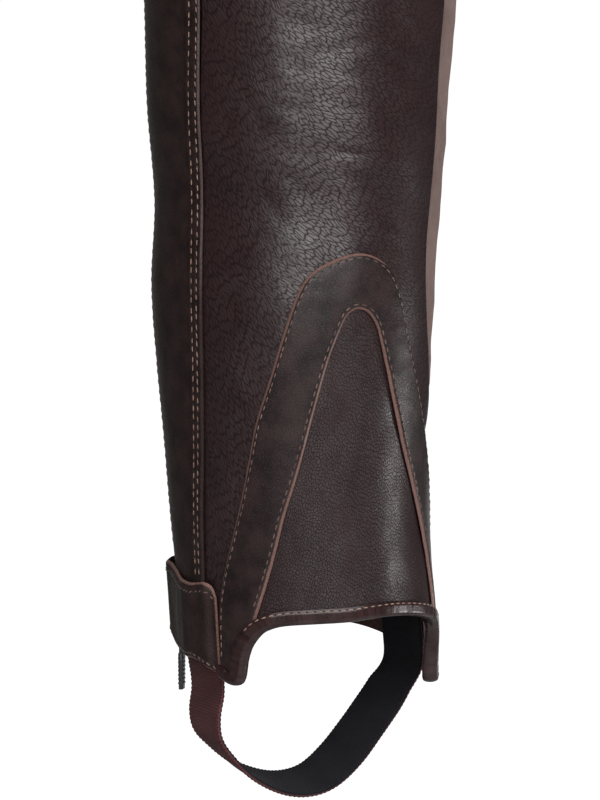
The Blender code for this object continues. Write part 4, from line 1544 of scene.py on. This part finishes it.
def block(form, low, high, tip=1.0):
    """A box between two corners in millimetres, narrower at its foot by a share."""
    middle = (Vector(low) + Vector(high)) / 2000
    size = (Vector(high) - Vector(low)) / 1000
    stand = Matrix.Translation(middle) @ Matrix.Diagonal((*size, 1))
    made = bmesh.ops.create_cube(form, size=1.0, matrix=stand)["verts"]
    for vert in made:
        if vert.co.z < middle.z:
            vert.co.x *= tip
    return made


def metal_piece(name, boxes, bevel, node, body):
    form = bmesh.new()
    for box in boxes:
        block(form, *box)
    round_edges(form, bevel / 1000, 2)
    bmesh.ops.transform(form, matrix=zip_matrix(), verts=form.verts)
    return keep(name, form, (lacquer,), (node,), body)


slider = metal_piece(
    "slider",
    (
        ((-4.2, -1.75, SLIDER_FLOOR), (4.2, -0.8, SLIDER_HEAD), 0.72),
        ((-4.2, -4.8, SLIDER_FLOOR), (4.2, -3.8, SLIDER_HEAD), 0.72),
        ((-2.2, -4.2, SLIDER_FLOOR + 1), (2.2, -1.2, SLIDER_HEAD - 0.4)),
        ((-1.1, -1.2, -1.9), (1.1, 1.5, -0.8)),
        ((-1.1, -1.2, 4.0), (1.1, 1.5, 5.1)),
        ((-1.1, 0.8, -1.9), (1.1, 1.6, 5.1)),
    ),
    0.22,
    "zip_slider",
    "chap",
)

# %% The pull's loop and grip
PULL_HALF, PULL_SLOT, PULL_WALL = 2.9, 1.5, 0.45
RIB_FOOT, RIB_PITCH = -22.6, 1.5
rib_feet = [RIB_FOOT + rib * RIB_PITCH for rib in range(7)]
grip_ribs = [((-2.2, -0.95, foot), (2.2, 0.95, foot + 0.6)) for foot in rib_feet]
pull_tab = metal_piece(
    "pull_tab",
    (
        ((-PULL_HALF, -0.72, -24.6), (PULL_HALF, 0.72, -11.4), 0.7),
        ((-PULL_HALF + 0.2, -PULL_WALL, -12.4), (PULL_HALF - 0.2, PULL_WALL, -8.6)),
        ((-PULL_HALF, -PULL_WALL, -9.4), (-PULL_SLOT, PULL_WALL, PULL_WALL)),
        ((PULL_SLOT, -PULL_WALL, -9.4), (PULL_HALF, PULL_WALL, PULL_WALL)),
        ((-PULL_HALF, -PULL_WALL, -PULL_WALL), (PULL_HALF, PULL_WALL, PULL_WALL)),
        *grip_ribs,
    ),
    0.14,
    "zip_pull",
    "pull",
)

# %% [markdown]
# ## What each piece was cut to
# A maker lays the pattern out flat. The builder above has measured each piece along its own
# surface, so the flat sizes come straight from the form.

# %% Flat sizes
strap_middle = [strap_place(number / 60, 0.5, 0.0) for number in range(61)]
strap_length = sum((end - start).length for start, end in zip(strap_middle, strap_middle[1:]))
strap_width = ELASTIC_WIDTH / 1000
cuts["elastic_strap"] = (strap_width, strap_length, strap_width * strap_length)
held_as = {
    "shin_panel": ("stretched", (), [seam_strip]),
    "outer_rear_panel": ("stretched", (), []),
    "calf_suede": ("stretched", (), []),
    "ankle_piece": ("stretched", (), [instep_fold]),
    "v_band": ("laid", ("shin_panel", "calf_suede", "ankle_piece"), []),
    "zip_guard_flap": ("laid", ("outer_rear_panel", "shin_panel"), []),
    "elastic_strap": ("stretched", (), []),
    "front_tape": ("stretched", (), []),
    "rear_tape": ("stretched", (), []),
}
for piece_name, (held, under, sewn_on) in held_as.items():
    width, length, area = cuts[piece_name]
    area = min(area, width * length)
    print(f"{piece_name}: {width * 1000:.0f} by {length * 1000:.0f} mm, {area * 10000:.0f} square cm")

# %% [markdown]

# %% [markdown]
# ## Floor, light and camera
# Dark leather is mostly seen by what it mirrors, so the light is the look. One tall soft light
# stands near the camera and makes the broad shine down the shin. A second one at the inner side
# catches the folded binding. The surroundings are pale, and palest behind the chap.

# %% Floor
FLOOR_HEIGHT, FLOOR_HALF = -0.9, 30.0
AZIMUTH, PITCH, DISTANCE = math.radians(-26.5), math.radians(4.2), 1.70
level = math.cos(PITCH)
back = Vector((math.sin(AZIMUTH) * level, -math.cos(AZIMUTH) * level, math.sin(PITCH)))
floor_finish = Finish("pale floor", Roughness=0.9, Specular_IOR_Level=0.1)
floor_place = floor_finish.node("TexCoord", output=3)
floor_tone = floor_finish.node("TexNoise", None, {"Vector": floor_place, "Scale": 3.0})
floor_way = floor_finish.node("VectorMath", {"operation": "NORMALIZE"}, {0: floor_place})
settings = {"operation": "DOT_PRODUCT"}
behind = floor_finish.node("VectorMath", settings, {0: floor_way, 1: tuple(-back)}, output=1)
glow = floor_finish.mix(behind.between(0.90, 0.96), (0.05, 0.05, 0.05), (0.98, 0.98, 0.98))
floor_finish.feed(floor_finish.shader.inputs["Emission Color"], glow)
floor_finish.shader.inputs["Emission Strength"].default_value = 1.0
floor_finish.done(floor_finish.mix(floor_tone, (0.6, 0.6, 0.6), (0.64, 0.64, 0.64)), 0.9)
form = bmesh.new()
bmesh.ops.create_grid(form, x_segments=1, y_segments=1, size=FLOOR_HALF)
bmesh.ops.translate(form, vec=(0, 0, FLOOR_HEIGHT), verts=form.verts)
mesh = bpy.data.meshes.new("floor")
form.to_mesh(mesh)
form.free()
mesh.materials.append(floor_finish.material)
floor = bpy.data.objects.new("floor", mesh)
bpy.context.collection.objects.link(floor)
print("floor at", FLOOR_HEIGHT)

# %% Camera
PICTURE_HEIGHT, PIXEL, SENSOR = 800, 0.000355, 36.0
TARGET = Vector((0, 0, (95 - HOLD_HEIGHT) / 1000))
camera_data = bpy.data.cameras.new("camera")
camera_data.sensor_width = SENSOR
camera_data.lens = DISTANCE / PIXEL * SENSOR / PICTURE_HEIGHT
camera_data.clip_start, camera_data.clip_end = 0.05, 50
camera = bpy.data.objects.new("camera", camera_data)
bpy.context.collection.objects.link(camera)
camera.location = TARGET + back * DISTANCE
camera.rotation_mode = "QUATERNION"
camera.rotation_quaternion = (-back).to_track_quat("-Z", "Y")
bpy.context.scene.camera = camera
print("lens", round(camera_data.lens, 1), "mm")


# %% Lights
def soft_light(name, azimuth, height, distance, size, power):
    """A tall soft light at an angle round the leg, pointed at the calf."""
    data = bpy.data.lights.new(name, "AREA")
    data.shape = "RECTANGLE"
    data.size, data.size_y = size
    data.energy = power
    lamp = bpy.data.objects.new(name, data)
    bpy.context.collection.objects.link(lamp)
    turn = math.radians(azimuth)
    lamp.location = Vector((math.sin(turn) * distance, -math.cos(turn) * distance, height))
    aim = Vector((0, 0, -0.08)) - lamp.location
    lamp.rotation_mode = "QUATERNION"
    lamp.rotation_quaternion = aim.to_track_quat("-Z", "Y")
    lamp.visible_camera = False
    return lamp


# name, angle round the leg, height, distance, width and height of the light in metres, and watts
LIGHTS = (
    ("broad front light", -15, 1.0, 2.2, (2.9, 2.4), 122),
    ("inner side light", 66, -0.3, 0.6, (0.13, 0.13), 1.0),
    ("rear light", 170, 0.8, 2.2, (1.4, 1.4), 4),
)
for light in LIGHTS:
    soft_light(*light)

# %% Surroundings
world = bpy.data.worlds.new("pale studio")
world.use_nodes = True
bpy.context.scene.world = world
nodes, links = world.node_tree.nodes, world.node_tree.links
direction = nodes.new("ShaderNodeTexCoord")
facing = nodes.new("ShaderNodeVectorMath")
facing.operation = "DOT_PRODUCT"
facing.inputs[1].default_value = -back
step = nodes.new("ShaderNodeMapRange")
step.interpolation_type = "SMOOTHSTEP"
# how far a direction faces away from the camera, and how pale the surroundings are there
PALE_STEP = {"From Min": 0.93, "From Max": 0.985, "To Min": 0.12, "To Max": 1.02}
for socket, value in PALE_STEP.items():
    step.inputs[socket].default_value = value
background = nodes["Background"]
background.inputs["Color"].default_value = (1.0, 1.0, 1.0, 1)
links.new(direction.outputs["Generated"], facing.inputs[0])
links.new(facing.outputs["Value"], step.inputs["Value"])
links.new(step.outputs["Result"], background.inputs["Strength"])
bpy.context.scene.view_settings.view_transform = "Standard"
print("the surroundings are palest behind the chap")
